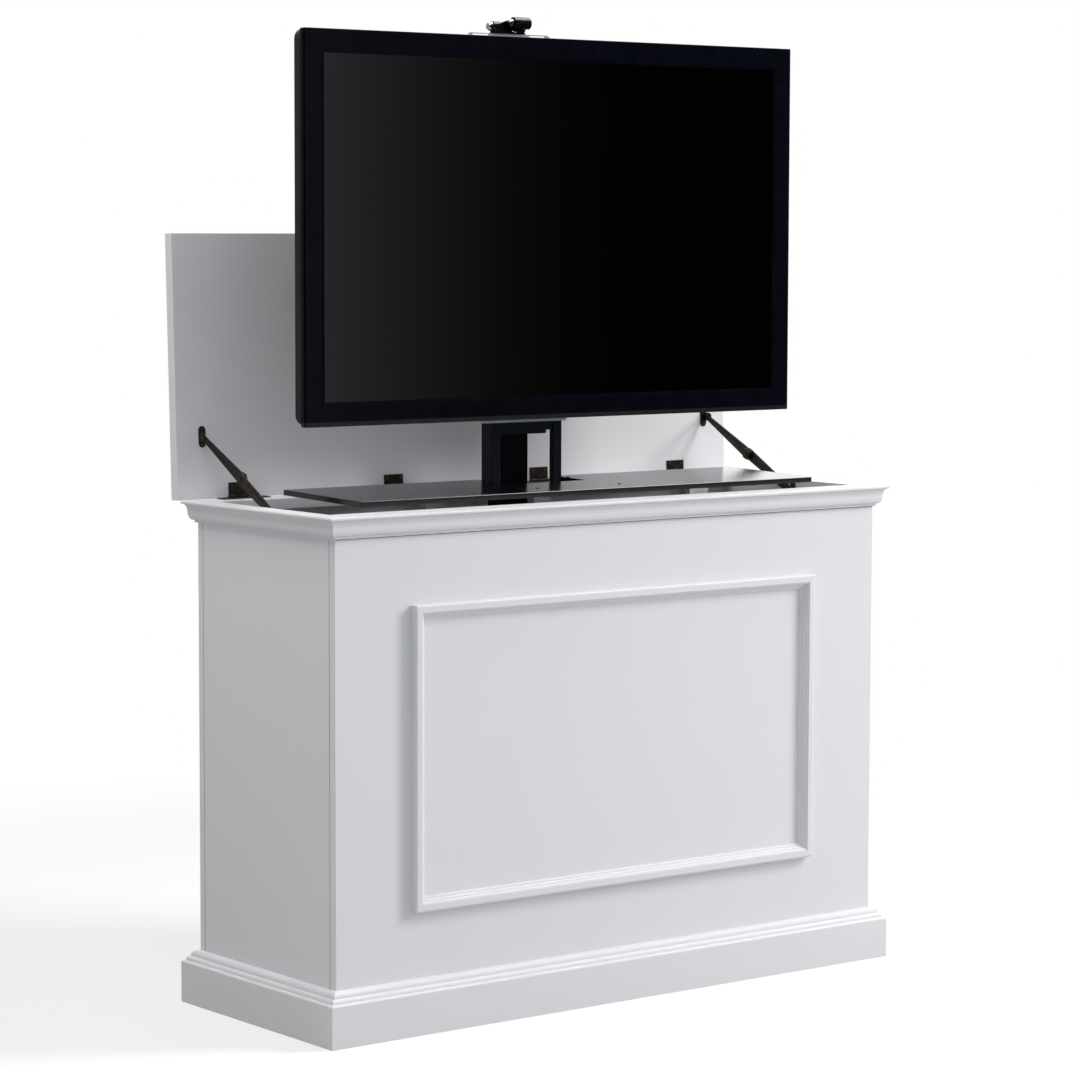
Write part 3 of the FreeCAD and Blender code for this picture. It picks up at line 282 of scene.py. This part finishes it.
def colour_runs(tree, shader, noise, shades):
    """The colour runs between two shades with the noise."""
    ramp = tree.nodes.new("ShaderNodeValToRGB")
    for stop, position, shade in zip(ramp.color_ramp.elements, (noise_low, noise_high), shades):
        stop.position = position
        stop.color = (*shade, 1.0)
    tree.links.new(noise, ramp.inputs["Fac"])
    tree.links.new(ramp.outputs["Color"], shader.inputs["Base Color"])


def polish_runs(tree, shader, noise, levels):
    """The roughness runs between two levels with the noise."""
    span = tree.nodes.new("ShaderNodeMapRange")
    span.inputs["From Min"].default_value = noise_low
    span.inputs["From Max"].default_value = noise_high
    span.inputs["To Min"].default_value, span.inputs["To Max"].default_value = levels
    tree.links.new(noise, span.inputs["Value"])
    tree.links.new(span.outputs["Result"], shader.inputs["Roughness"])


def relief(tree, shader, noise, height, strength):
    """Fine relief, its height in metres."""
    bump = tree.nodes.new("ShaderNodeBump")
    bump.inputs["Distance"].default_value = height
    bump.inputs["Strength"].default_value = strength
    tree.links.new(noise, bump.inputs["Height"])
    tree.links.new(bump.outputs["Normal"], shader.inputs["Normal"])


def dress(finish, *nodes):
    """The finish goes on to CAD pieces."""
    for node in nodes:
        for place in frame["nodes"][node].material_slots:
            place.material = finish


white_lacquer, tree, shader = finish_of("white_lacquer", lacquer_roughness, shine=lacquer_shine)
colour_runs(tree, shader, mottle(tree, scale=5.0, detail=2.0), lacquer_shades)
polish_runs(tree, shader, mottle(tree, scale=30.0, detail=2.0), lacquer_polish)
relief(tree, shader, mottle(tree, scale=300.0, detail=3.0), orange_peel_height, strength=0.5)

sides = ("front", "rear", "left", "right")
boards = ["front_panel", "back_panel", "side_panel_left", "side_panel_right", "bottom_panel"]
boards += ["floor_runners", "back_posts", "lid_board"]
boards += [part + "_" + side for part in ("top_rail", "base_board", "crown") for side in sides]
boards += ["panel_moulding_" + side for side in ("top", "bottom", "left", "right")]
dress(white_lacquer, *boards)


# Joints of the side panels. The boards meet at each corner in a fine V groove, and a dark strip
# along its bottom is painted shade: it stands in for the shadow deep in the groove.
joint_shadow_shades = ((0.030, 0.028, 0.025), (0.060, 0.055, 0.048))
front_joint_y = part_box("side_panel_left")[0][1]
rear_joint_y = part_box("side_panel_left")[1][1]
side_face_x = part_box("side_panel_right")[1][0]
joint_width = 0.0012
joint_depth = 0.0008
joint_sunk = 0.0003
joint_bottom = 0.092
joint_top = 0.857


def joint_line(middle, size, edge):
    """A thin strip with its edges taken off, its place in its mesh."""
    bpy.ops.object.select_all(action="DESELECT")
    bpy.ops.mesh.primitive_cube_add(size=1.0, location=middle, scale=size)
    bpy.ops.object.transform_apply(location=True, rotation=True, scale=True)
    bpy.ops.object.mode_set(mode="EDIT")
    bpy.ops.mesh.select_all(action="SELECT")
    bpy.ops.mesh.bevel(offset=edge, segments=1, affect="EDGES")
    bpy.ops.object.mode_set(mode="OBJECT")
    return bpy.context.object


def alone(name):
    """The piece just made takes its name, and is the only one selected."""
    piece = bpy.context.object
    bpy.ops.object.select_all(action="DESELECT")
    piece.select_set(True)
    piece.name = name
    piece.data.name = name
    return piece


def joined(name, pieces):
    """Pieces made into one, which takes the name and is left selected."""
    bpy.ops.object.select_all(action="DESELECT")
    for piece in pieces:
        piece.select_set(True)
    bpy.context.view_layer.objects.active = pieces[0]
    if len(pieces) > 1:
        bpy.ops.object.join()
    return alone(name)


# Painted shade: a near black finish for the strips that stand in for the shadow in the joints.
joint_shadow_paint, tree, shader = finish_of("joint_shadow_paint", roughness=0.8)
colour_runs(tree, shader, mottle(tree, scale=200.0, detail=3.0), joint_shadow_shades)

joint_x = side_face_x - joint_sunk - joint_depth / 2
joint_middle = (joint_bottom + joint_top) / 2
joint_size = (joint_depth, joint_width, joint_top - joint_bottom)
joint_lines = [
    joint_line((side * joint_x, joint_y, joint_middle), joint_size, joint_width / 8)
    for side in (-1, 1)
    for joint_y in (front_joint_y, rear_joint_y)
]
side_joint_shadows = joined("side_joint_shadows", joint_lines)
side_joint_shadows.data.materials.append(joint_shadow_paint)
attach(side_joint_shadows, "cabinet")


# Joint under the crown moulding. Along the front, where the crown's bead meets the front panel, a
# dark strip is painted shade: it stands in for the shadow in the fine gap under the bead.
crown_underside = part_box("crown_front")[0][2]
panel_face_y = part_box("front_panel")[0][1]
crown_joint_proud = 0.0012
crown_joint_bite = 0.0008
crown_joint_height = 0.0013

crown_joint_y = panel_face_y + (crown_joint_bite - crown_joint_proud) / 2
joint_line(
    (0.0, crown_joint_y, crown_underside - crown_joint_height / 2),
    (2 * side_face_x, crown_joint_bite + crown_joint_proud, crown_joint_height),
    crown_joint_height / 8,
)
crown_joint_shadow = alone("crown_joint_shadow")
crown_joint_shadow.data.materials.append(joint_shadow_paint)
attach(crown_joint_shadow, "cabinet")


# Screws of the back panel. Zinc plated pan heads with a crossed recess, each turned its own way,
# driven through the back panel into the side panels and the inner posts.
screw_zinc_shades = ((0.34, 0.35, 0.37), (0.48, 0.49, 0.51))
back_screw_columns = (-0.601, -0.511, -0.125, 0.125, 0.511, 0.601)
back_screw_rows = (0.13, 0.30, 0.475, 0.65, 0.82)
back_face_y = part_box("back_panel")[1][1]
pan_head_radius = 0.0042
pan_head_height = 0.0024
smooth_angle = math.radians(30)


def pick_faces(piece, wanted):
    """Only the faces that pass a test are selected, in edit mode."""
    bpy.ops.object.mode_set(mode="EDIT")
    bpy.ops.mesh.select_mode(type="FACE")
    bpy.ops.mesh.select_all(action="DESELECT")
    shape = bmesh.from_edit_mesh(piece.data)
    for face in shape.faces:
        face.select_set(wanted(face))
    bmesh.update_edit_mesh(piece.data)


def faces_up(face):
    return face.normal.z > 0.9


def faces_aside(face):
    return abs(face.normal.z) < 0.1


def round_bar(name, radius, low, high, vertices):
    """A round bar along Z between two heights, with its top face picked in edit mode."""
    bpy.ops.object.select_all(action="DESELECT")
    bpy.ops.mesh.primitive_cylinder_add(
        vertices=vertices, radius=radius, depth=high - low, location=(0, 0, (low + high) / 2)
    )
    bar = alone(name)
    bpy.ops.object.transform_apply(location=True, rotation=True, scale=True)
    pick_faces(bar, faces_up)
    return bar


def stepped_up(inset, rise):
    """The picked face drawn in and lifted."""
    bpy.ops.mesh.inset(thickness=inset)
    bpy.ops.transform.translate(value=(0, 0, rise))


def cut_out(piece, tool):
    """The tool's shape is cut out of the piece, and the tool is thrown away."""
    recess = piece.modifiers.new("recess", "BOOLEAN")
    recess.operation = "DIFFERENCE"
    recess.solver = "EXACT"
    recess.object = tool
    bpy.ops.object.select_all(action="DESELECT")
    piece.select_set(True)
    bpy.context.view_layer.objects.active = piece
    bpy.ops.object.modifier_apply(modifier=recess.name)
    bpy.data.objects.remove(tool)


def cross_head(name, radius, height):
    """A domed screw head that stands on the origin, with a crossed recess."""
    slot_width = radius * 0.28
    slot_reach = radius * 0.42
    head = round_bar(name, radius, low=0.0, high=height * 0.6, vertices=24)
    stepped_up(radius * 0.18, height * 0.25)
    stepped_up(radius * 0.3, height * 0.15)
    bpy.ops.object.mode_set(mode="OBJECT")
    bpy.ops.mesh.primitive_cube_add(size=slot_width, location=(0, 0, height))
    cross = alone("cross")
    bpy.ops.object.transform_apply(location=True, rotation=True, scale=True)
    pick_faces(cross, faces_aside)
    bpy.ops.mesh.extrude_faces_move(TRANSFORM_OT_shrink_fatten={"value": slot_reach})
    bpy.ops.object.mode_set(mode="OBJECT")
    cut_out(head, cross)
    return head


def stood(place, up, turn=0.0):
    """The place and turn of a piece that stands on a surface, its top pointing up from it."""
    return (
        Matrix.Translation(place)
        @ Vector(up).to_track_quat("Z", "Y").to_matrix().to_4x4()
        @ Matrix.Rotation(turn, 4, "Z")
    )


def repeated(master, name, places, finish, body):
    """One group of copies, each of its own mesh, that rides on a body in one finish."""
    copies = []
    for place in places:
        copy = master.copy()
        copy.data = master.data.copy()
        bpy.context.scene.collection.objects.link(copy)
        copy.matrix_world = place
        copies.append(copy)
    group = joined(name, copies)
    bpy.ops.object.transform_apply(location=True, rotation=True, scale=True)
    bpy.ops.object.shade_smooth_by_angle(angle=smooth_angle)
    group.data.materials.clear()
    group.data.materials.append(finish)
    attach(group, body)


screw_zinc, tree, shader = finish_of("screw_zinc", roughness=0.35, metallic=0.9)
colour_runs(tree, shader, mottle(tree, scale=400.0, detail=3.0), screw_zinc_shades)

pan_head = cross_head("pan_head", pan_head_radius, pan_head_height)
places = [
    stood((x, back_face_y, z), (0, 1, 0), x * z * 40.0)
    for x in back_screw_columns
    for z in back_screw_rows
]
repeated(pan_head, "back_panel_screws", places, screw_zinc, "cabinet")


# Lid hinges. Four butt hinges of pressed steel with a brushed oil bronze finish, darker in the
# mottle, each held by three screws in the lid and four in the rim.
bronze_shades = ((0.030, 0.022, 0.016), (0.060, 0.046, 0.036))
bronze_polish = (0.34, 0.5)
bronze_grain_height = 0.00003
screw_bronze_shades = ((0.060, 0.044, 0.028), (0.130, 0.096, 0.064))
hinge_places = (-0.507, -0.169, 0.169, 0.507)
lid_open = math.radians(-92.0)
lid_joint = next(joint for joint in frame["joints"] if joint["name"] == "lid_hinge")
hinge_axis = Vector(lid_joint["pos_m"])
leaf_gap = 0.0009
leaf_thickness = 0.0016
screw_lift = 0.0001
leaf_screws = ((-0.0145, -0.0195), (0.0145, -0.0195), (0.0, -0.0095))
rim_screws = ((-0.041, -0.0157), (-0.025, -0.0205), (0.025, -0.0205), (0.041, -0.0157))
leaf_head_radius = 0.0030
leaf_head_height = 0.0011

bronze, tree, shader = finish_of("bronze", roughness=0.42, metallic=0.85)
patina = mottle(tree, scale=90.0, detail=6.0)
colour_runs(tree, shader, patina, bronze_shades)
polish_runs(tree, shader, patina, bronze_polish)
relief(tree, shader, mottle(tree, scale=1200.0, detail=2.0), bronze_grain_height, strength=0.5)
dress(bronze, "hinge_rim_leaves", "hinge_lid_leaves", "hinge_pins")

screw_bronze, tree, shader = finish_of("screw_bronze", roughness=0.34, metallic=0.85)
colour_runs(tree, shader, mottle(tree, scale=500.0, detail=3.0), screw_bronze_shades)

lid_swing = (
    Matrix.Translation(hinge_axis)
    @ Matrix.Rotation(lid_open, 4, "X")
    @ Matrix.Translation(-hinge_axis)
)
leaf_face = hinge_axis.z + leaf_gap
rim_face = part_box("hinge_rim_leaves")[0][2] + leaf_thickness + screw_lift


def on_lid(x, y, turn):
    """The place of a screw in the lid's underside, given as on the closed lid."""
    return lid_swing @ stood((x, y, leaf_face), (0, 0, -1), turn)


leaf_head = cross_head("leaf_head", leaf_head_radius, leaf_head_height)
lid_places = [
    on_lid(hinge_x + x, hinge_axis.y + y, hinge_x * 9 + x * 50)
    for hinge_x in hinge_places
    for x, y in leaf_screws
]
rim_places = [
    stood((hinge_x + x, hinge_axis.y + y, rim_face), (0, 0, 1), hinge_x * 7 + x * 60)
    for hinge_x in hinge_places
    for x, y in rim_screws
]
repeated(leaf_head, "lid_leaf_screws", lid_places, screw_bronze, "lid")
repeated(leaf_head, "rim_leaf_screws", rim_places, screw_bronze, "cabinet")


# Folding lid stays. The same bronze on ribbed steel arms, a riveted bracket on the lid held by
# two screws, and a plate on the cabinet's side wall.
bracket_x = 0.581
bracket_reach = 0.108
bracket_screw_reach = 0.0132

stay_arms = [
    "stay_" + part + "_" + side for part in ("upper", "lower") for side in ("left", "right")
]
dress(bronze, "stay_wall_plates", "stay_lid_brackets", *stay_arms)

bracket_y = hinge_axis.y - bracket_reach
stay_places = [
    on_lid(x, bracket_y + y, x + y * 90)
    for x in (-bracket_x, bracket_x)
    for y in (-bracket_screw_reach, bracket_screw_reach)
]
repeated(leaf_head, "stay_bracket_screws", stay_places, screw_bronze, "lid")


# Lift column, its foot and its drive. Folded and drawn steel with a fine black powder coat, and
# zinc plated bolts through the foot into the cabinet's bottom.
powder_shades = ((0.0072, 0.0092, 0.0130), (0.0110, 0.0136, 0.0186))
# The columns' shades are the powder coat's, darkened as painted shade.
shaded_column_shades = ((0.0012, 0.0018, 0.0026), (0.0022, 0.0030, 0.0042))
powder_grain_height = 0.00004
foot_low, foot_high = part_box("lift_foot")
column_y = (foot_low[1] + foot_high[1]) / 2
foot_bolt_x = 0.062
foot_bolt_y = 0.0315
foot_bolt_turn = 1.24
bolt_across = 0.010
foot_bolt_height = 0.0055


def hex_head(name, across, height):
    """A hexagon head with bevelled corners on a washer, standing on the origin."""
    washer_height = height * 0.25
    nut = round_bar(name, across / math.sqrt(3), low=washer_height, high=height, vertices=6)
    stepped_up(across * 0.1, height * 0.12)
    bpy.ops.object.mode_set(mode="OBJECT")
    washer = round_bar("washer", across * 0.8, low=0.0, high=washer_height, vertices=28)
    stepped_up(across * 0.05, washer_height * 0.2)
    bpy.ops.object.mode_set(mode="OBJECT")
    return joined(name, [nut, washer])


powder_coat, tree, shader = finish_of("powder_coat", roughness=0.4, shine=0.1)
colour_runs(tree, shader, mottle(tree, scale=300.0, detail=2.0), powder_shades)
relief(tree, shader, mottle(tree, scale=1500.0, detail=2.0), powder_grain_height, strength=0.6)
dress(powder_coat, "lift_foot", "carriage_rails", "carriage_bars", "carriage_head")
dress(powder_coat, "shelf_feet", "mount_arms", "lift_drive")

# A darker copy of the same powder coat, as painted shade: the columns and the roller bracket wear
# it for the shade they sit in.
shaded_column_coat, tree, shader = finish_of("shaded_column_coat", roughness=0.45, shine=0.08)
colour_runs(tree, shader, mottle(tree, scale=300.0, detail=2.0), shaded_column_shades)
relief(tree, shader, mottle(tree, scale=1500.0, detail=2.0), powder_grain_height, strength=0.6)
dress(shaded_column_coat, "outer_column", "middle_column", "inner_column", "roller_bracket")

foot_bolt = hex_head("foot_bolt", bolt_across, foot_bolt_height)
foot_places = [
    stood((side * foot_bolt_x, column_y + y, foot_high[2]), (0, 0, 1), side * foot_bolt_turn)
    for side in (-1, 1)
    for y in (-foot_bolt_y, foot_bolt_y)
]
repeated(foot_bolt, "lift_foot_bolts", foot_places, screw_zinc, "cabinet")


# Control box, column glides and cable ring. Moulded black plastic with a fine spark texture. The
# control box's lid and the gearbox's face are held by small screws.
moulded_shades = ((0.010, 0.011, 0.013), (0.017, 0.018, 0.020))
spark_height = 0.00003
box_low, box_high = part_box("control_box")
drive_low, drive_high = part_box("lift_drive")
box_screw_inset = 0.008
drive_screw_inset = 0.006
drive_screw_far_inset = 0.020
drive_screw_columns = (drive_low[0] + drive_screw_inset, drive_low[0] + drive_screw_far_inset)
drive_screw_rows = (drive_low[2] + drive_screw_inset, drive_high[2] - drive_screw_inset)
gearbox_reach = 0.022
gearbox_face_y = column_y - gearbox_reach
small_head_radius = 0.0026
small_head_height = 0.0016

moulded_black, tree, shader = finish_of("moulded_black", roughness=0.5)
colour_runs(tree, shader, mottle(tree, scale=150.0, detail=3.0), moulded_shades)
relief(tree, shader, mottle(tree, scale=2200.0, detail=1.0), spark_height, strength=0.6)
dress(moulded_black, "cable_grommet", "outer_glide", "middle_glide", "control_box", "power_inlet")

small_head = cross_head("small_head", small_head_radius, small_head_height)
box_places = [
    stood((x, y, box_high[2]), (0, 0, 1), x * 30 + y * 50)
    for x in (box_low[0] + box_screw_inset, box_high[0] - box_screw_inset)
    for y in (box_low[1] + box_screw_inset, box_high[1] - box_screw_inset)
]
box_places += [
    stood((x, gearbox_face_y, z), (0, -1, 0), x * 40 + z * 70)
    for x in drive_screw_columns
    for z in drive_screw_rows
]
repeated(small_head, "drive_screws", box_places, screw_zinc, "cabinet")


# Mount plate on the rails and the arms on the television. Zinc plated steel plate, bolted through
# to the rails' flanges, and channels that two bolts each hold to the rear cover.
zinc_shades = ((0.32, 0.35, 0.42), (0.46, 0.50, 0.58))
zinc_polish = (0.3, 0.48)
upright_grain = (1.0, 1.0, 30.0)
plate_low, plate_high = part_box("mount_plate")
rail_wall = 0.0025
rail_bolt_x = 0.069
rail_bolt_rows = (1.060, 1.260, 1.460)
rail_bolt_height = 0.0052
arm_low, arm_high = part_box("mount_arms")
arm_bolt_x = 0.086
arm_bolt_reach = 0.1

zinc, tree, shader = finish_of("zinc", roughness=0.38, metallic=0.9)
brushed = mottle(tree, scale=60.0, detail=4.0, stretch=upright_grain)
colour_runs(tree, shader, brushed, zinc_shades)
polish_runs(tree, shader, brushed, zinc_polish)
dress(zinc, "mount_plate")

rail_bolt = hex_head("rail_bolt", bolt_across, rail_bolt_height)
rail_places = []
for x in (-rail_bolt_x, rail_bolt_x):
    for z in rail_bolt_rows:
        rail_places.append(stood((x, plate_low[1], z), (0, -1, 0), z * 30))
        rail_places.append(stood((x, plate_high[1] + rail_wall, z), (0, 1, 0), z * 17))
repeated(rail_bolt, "mount_plate_bolts", rail_places, screw_zinc, "carriage")

arm_middle_z = (arm_low[2] + arm_high[2]) / 2
arm_places = [
    stood((x, arm_low[1] + rail_wall, arm_middle_z + z), (0, 1, 0), z * 9)
    for x in (-arm_bolt_x, arm_bolt_x)
    for z in (-arm_bolt_reach, arm_bolt_reach)
]
repeated(rail_bolt, "mount_arm_bolts", arm_places, screw_zinc, "carriage")


# Shelf under the television. Fibreboard with a black gloss laminate, tilted a little to the
# front, and screwed down to its carriers.
shelf_shades = ((0.0014, 0.0017, 0.0026), (0.0024, 0.0028, 0.0040))
shelf_tilt = math.radians(1.5)
shelf_low, shelf_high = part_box("shelf_board")
shelf_screw_x = 0.094
shelf_screw_rows = (-0.095, 0.055)
shelf_screw_sunk = 0.0002
shelf_head_radius = 0.0032
shelf_head_height = 0.0012

shelf_gloss, tree, shader = finish_of("shelf_gloss", roughness=0.18)
colour_runs(tree, shader, mottle(tree, scale=25.0, detail=3.0), shelf_shades)
dress(shelf_gloss, "shelf_board")

shelf_rise = math.tan(shelf_tilt)
shelf_front_top = shelf_high[2] - (shelf_high[1] - shelf_low[1]) * shelf_rise
shelf_up = (0.0, -math.sin(shelf_tilt), math.cos(shelf_tilt))
shelf_places = []
for x in (-shelf_screw_x, shelf_screw_x):
    for y in shelf_screw_rows:
        top_z = shelf_front_top + (y - shelf_low[1]) * shelf_rise - shelf_screw_sunk
        shelf_places.append(stood((x, y, top_z), shelf_up, x * 9 + y * 30))
shelf_head = cross_head("shelf_head", shelf_head_radius, shelf_head_height)
repeated(shelf_head, "shelf_screws", shelf_places, powder_coat, "carriage")


# Television. A glossy black front frame, a dark coated screen, a grey strip below and a matt rear
# cover with screws round its edge and sockets in a bay.
piano_shades = ((0.0020, 0.0024, 0.0046), (0.0032, 0.0036, 0.0064))
screen_shades = ((0.0001, 0.0001, 0.0001), (0.0002, 0.0002, 0.0002))
cover_shades = ((0.0065, 0.0070, 0.0085), (0.0095, 0.0100, 0.0115))
cover_grain_height = 0.00004
trim_shades = ((0.0062, 0.0056, 0.0052), (0.0090, 0.0082, 0.0076))
socket_shades = ((0.36, 0.36, 0.35), (0.46, 0.46, 0.45))
cover_low, cover_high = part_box("tv_rear_cover")
cover_rim_depth = 0.0215
cover_rim_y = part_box("tv_bezel")[1][1] + cover_rim_depth
edge_inset = 0.028
edge_rows = (1.085, 1.27, 1.47, 1.655)
edge_columns = (-0.33, 0.0, 0.33)
cover_head_radius = 0.0036
cover_head_height = 0.0020
socket_wall = 0.0006
bay_floor_y = 0.008
bay_row_low = 1.268
bay_row_high = 1.293

piano_black, tree, shader = finish_of("piano_black", roughness=0.08, shine=0.1)
colour_runs(tree, shader, mottle(tree, scale=30.0, detail=2.0), piano_shades)
dress(piano_black, "tv_bezel")

screen_coat, tree, shader = finish_of("screen_coat", roughness=0.08, shine=1.0)
colour_runs(tree, shader, mottle(tree, scale=8.0, detail=1.0), screen_shades)
dress(screen_coat, "tv_screen")

cover_plastic, tree, shader = finish_of("cover_plastic", roughness=0.5, shine=0.25)
colour_runs(tree, shader, mottle(tree, scale=100.0, detail=3.0), cover_shades)
relief(tree, shader, mottle(tree, scale=1800.0, detail=1.0), cover_grain_height, strength=0.7)
dress(cover_plastic, "tv_rear_cover")

trim_grey, tree, shader = finish_of("trim_grey", roughness=0.35, shine=0.3)
colour_runs(tree, shader, mottle(tree, scale=60.0, detail=2.0), trim_shades)
dress(trim_grey, "tv_trim")

edge_places = [
    stood((x, cover_rim_y, z), (0, 1, 0), x * 7 + z * 13)
    for z in edge_rows
    for x in (cover_low[0] + edge_inset, cover_high[0] - edge_inset)
]
edge_places += [
    stood((x, cover_rim_y, z), (0, 1, 0), x * 11 + z * 5)
    for x in edge_columns
    for z in (cover_low[2] + edge_inset, cover_high[2] - edge_inset)
]
cover_head = cross_head("cover_head", cover_head_radius, cover_head_height)
repeated(cover_head, "tv_cover_screws", edge_places, powder_coat, "carriage")

socket_metal, tree, shader = finish_of("socket_metal", roughness=0.3, metallic=0.95)
colour_runs(tree, shader, mottle(tree, scale=300.0, detail=2.0), socket_shades)


def sunk(inset, drop):
    """The picked face drawn in, and its inside pushed down into the piece."""
    bpy.ops.mesh.inset(thickness=inset)
    bpy.ops.mesh.inset(thickness=0.0, depth=-drop)


def socket_shell(name, width, height, depth):
    """A flat socket that stands on the origin: a shell with a deep mouth."""
    bpy.ops.object.select_all(action="DESELECT")
    bpy.ops.mesh.primitive_cube_add(
        size=1.0, location=(0, 0, depth / 2), scale=(width, height, depth)
    )
    shell = alone(name)
    bpy.ops.object.transform_apply(location=True, rotation=True, scale=True)
    pick_faces(shell, faces_up)
    sunk(socket_wall, depth * 0.8)
    bpy.ops.object.mode_set(mode="OBJECT")
    return shell


def round_socket(name, radius, depth):
    """A round socket that stands on the origin: a collar with a stepped mouth."""
    collar = round_bar(name, radius, low=0.0, high=depth, vertices=24)
    sunk(radius * 0.3, depth * 0.7)
    sunk(radius * 0.25, -depth * 0.4)
    bpy.ops.object.mode_set(mode="OBJECT")
    return collar


def in_bay(columns, row_z):
    """Places on the floor of the plugs bay, along one row."""
    return [stood((x, bay_floor_y, row_z), (0, 1, 0)) for x in columns]


wide_socket = socket_shell("wide_socket", width=0.0150, height=0.0056, depth=0.0040)
wide_places = in_bay((-0.315, -0.290, -0.265), bay_row_high)
repeated(wide_socket, "tv_flat_sockets", wide_places, socket_metal, "carriage")
tall_socket = socket_shell("tall_socket", width=0.0160, height=0.0130, depth=0.0050)
tall_places = in_bay((-0.310, -0.285), bay_row_low)
repeated(tall_socket, "tv_data_sockets", tall_places, socket_metal, "carriage")
ring_socket = round_socket("ring_socket", radius=0.0045, depth=0.0080)
ring_places = in_bay((-0.235, -0.215, -0.195), bay_row_low)
ring_places += in_bay((-0.225, -0.200, -0.175), bay_row_high)
repeated(ring_socket, "tv_round_sockets", ring_places, socket_metal, "carriage")


# Lid rollers on the lift's head. A slotted zinc plate, polished black plastic rollers on chromed
# axles, and a chromed screw that holds the bracket to the plate.
plate_shades = ((0.74, 0.73, 0.79), (0.88, 0.87, 0.93))
sideways_grain = (30.0, 1.0, 1.0)
chrome_shades = ((0.62, 0.60, 0.59), (0.78, 0.76, 0.75))
roller_shades = ((0.0022, 0.0022, 0.0028), (0.0040, 0.0040, 0.0048))
bracket_wall = 0.002
bracket_screw = (0.0007, 0.1012)
bracket_screw_turn = 0.4
dome_head_radius = 0.0042
dome_head_height = 0.0032

plate_zinc, tree, shader = finish_of("plate_zinc", roughness=0.32, metallic=0.85)
brushed = mottle(tree, scale=60.0, detail=4.0, stretch=sideways_grain)
colour_runs(tree, shader, brushed, plate_shades)
dress(plate_zinc, "roller_plate")

chrome, tree, shader = finish_of("chrome", roughness=0.12, metallic=1.0)
colour_runs(tree, shader, mottle(tree, scale=200.0, detail=3.0), chrome_shades)
dress(chrome, "roller_axles")

roller_black, tree, shader = finish_of("roller_black", roughness=0.2, shine=0.3)
colour_runs(tree, shader, mottle(tree, scale=80.0, detail=2.0), roller_shades)
dress(roller_black, "roller_rear", "roller_front")

bracket_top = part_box("roller_plate")[1][2] + bracket_wall
dome_head = cross_head("dome_head", dome_head_radius, dome_head_height)
dome_place = stood((*bracket_screw, bracket_top), (0, 0, 1), bracket_screw_turn)
repeated(dome_head, "roller_bracket_screw", [dome_place], chrome, "carriage")

masters = (
    pan_head, leaf_head, foot_bolt, small_head, rail_bolt, shelf_head, cover_head,
    wide_socket, tall_socket, ring_socket, dome_head,
)
for master in masters:
    bpy.data.objects.remove(master)
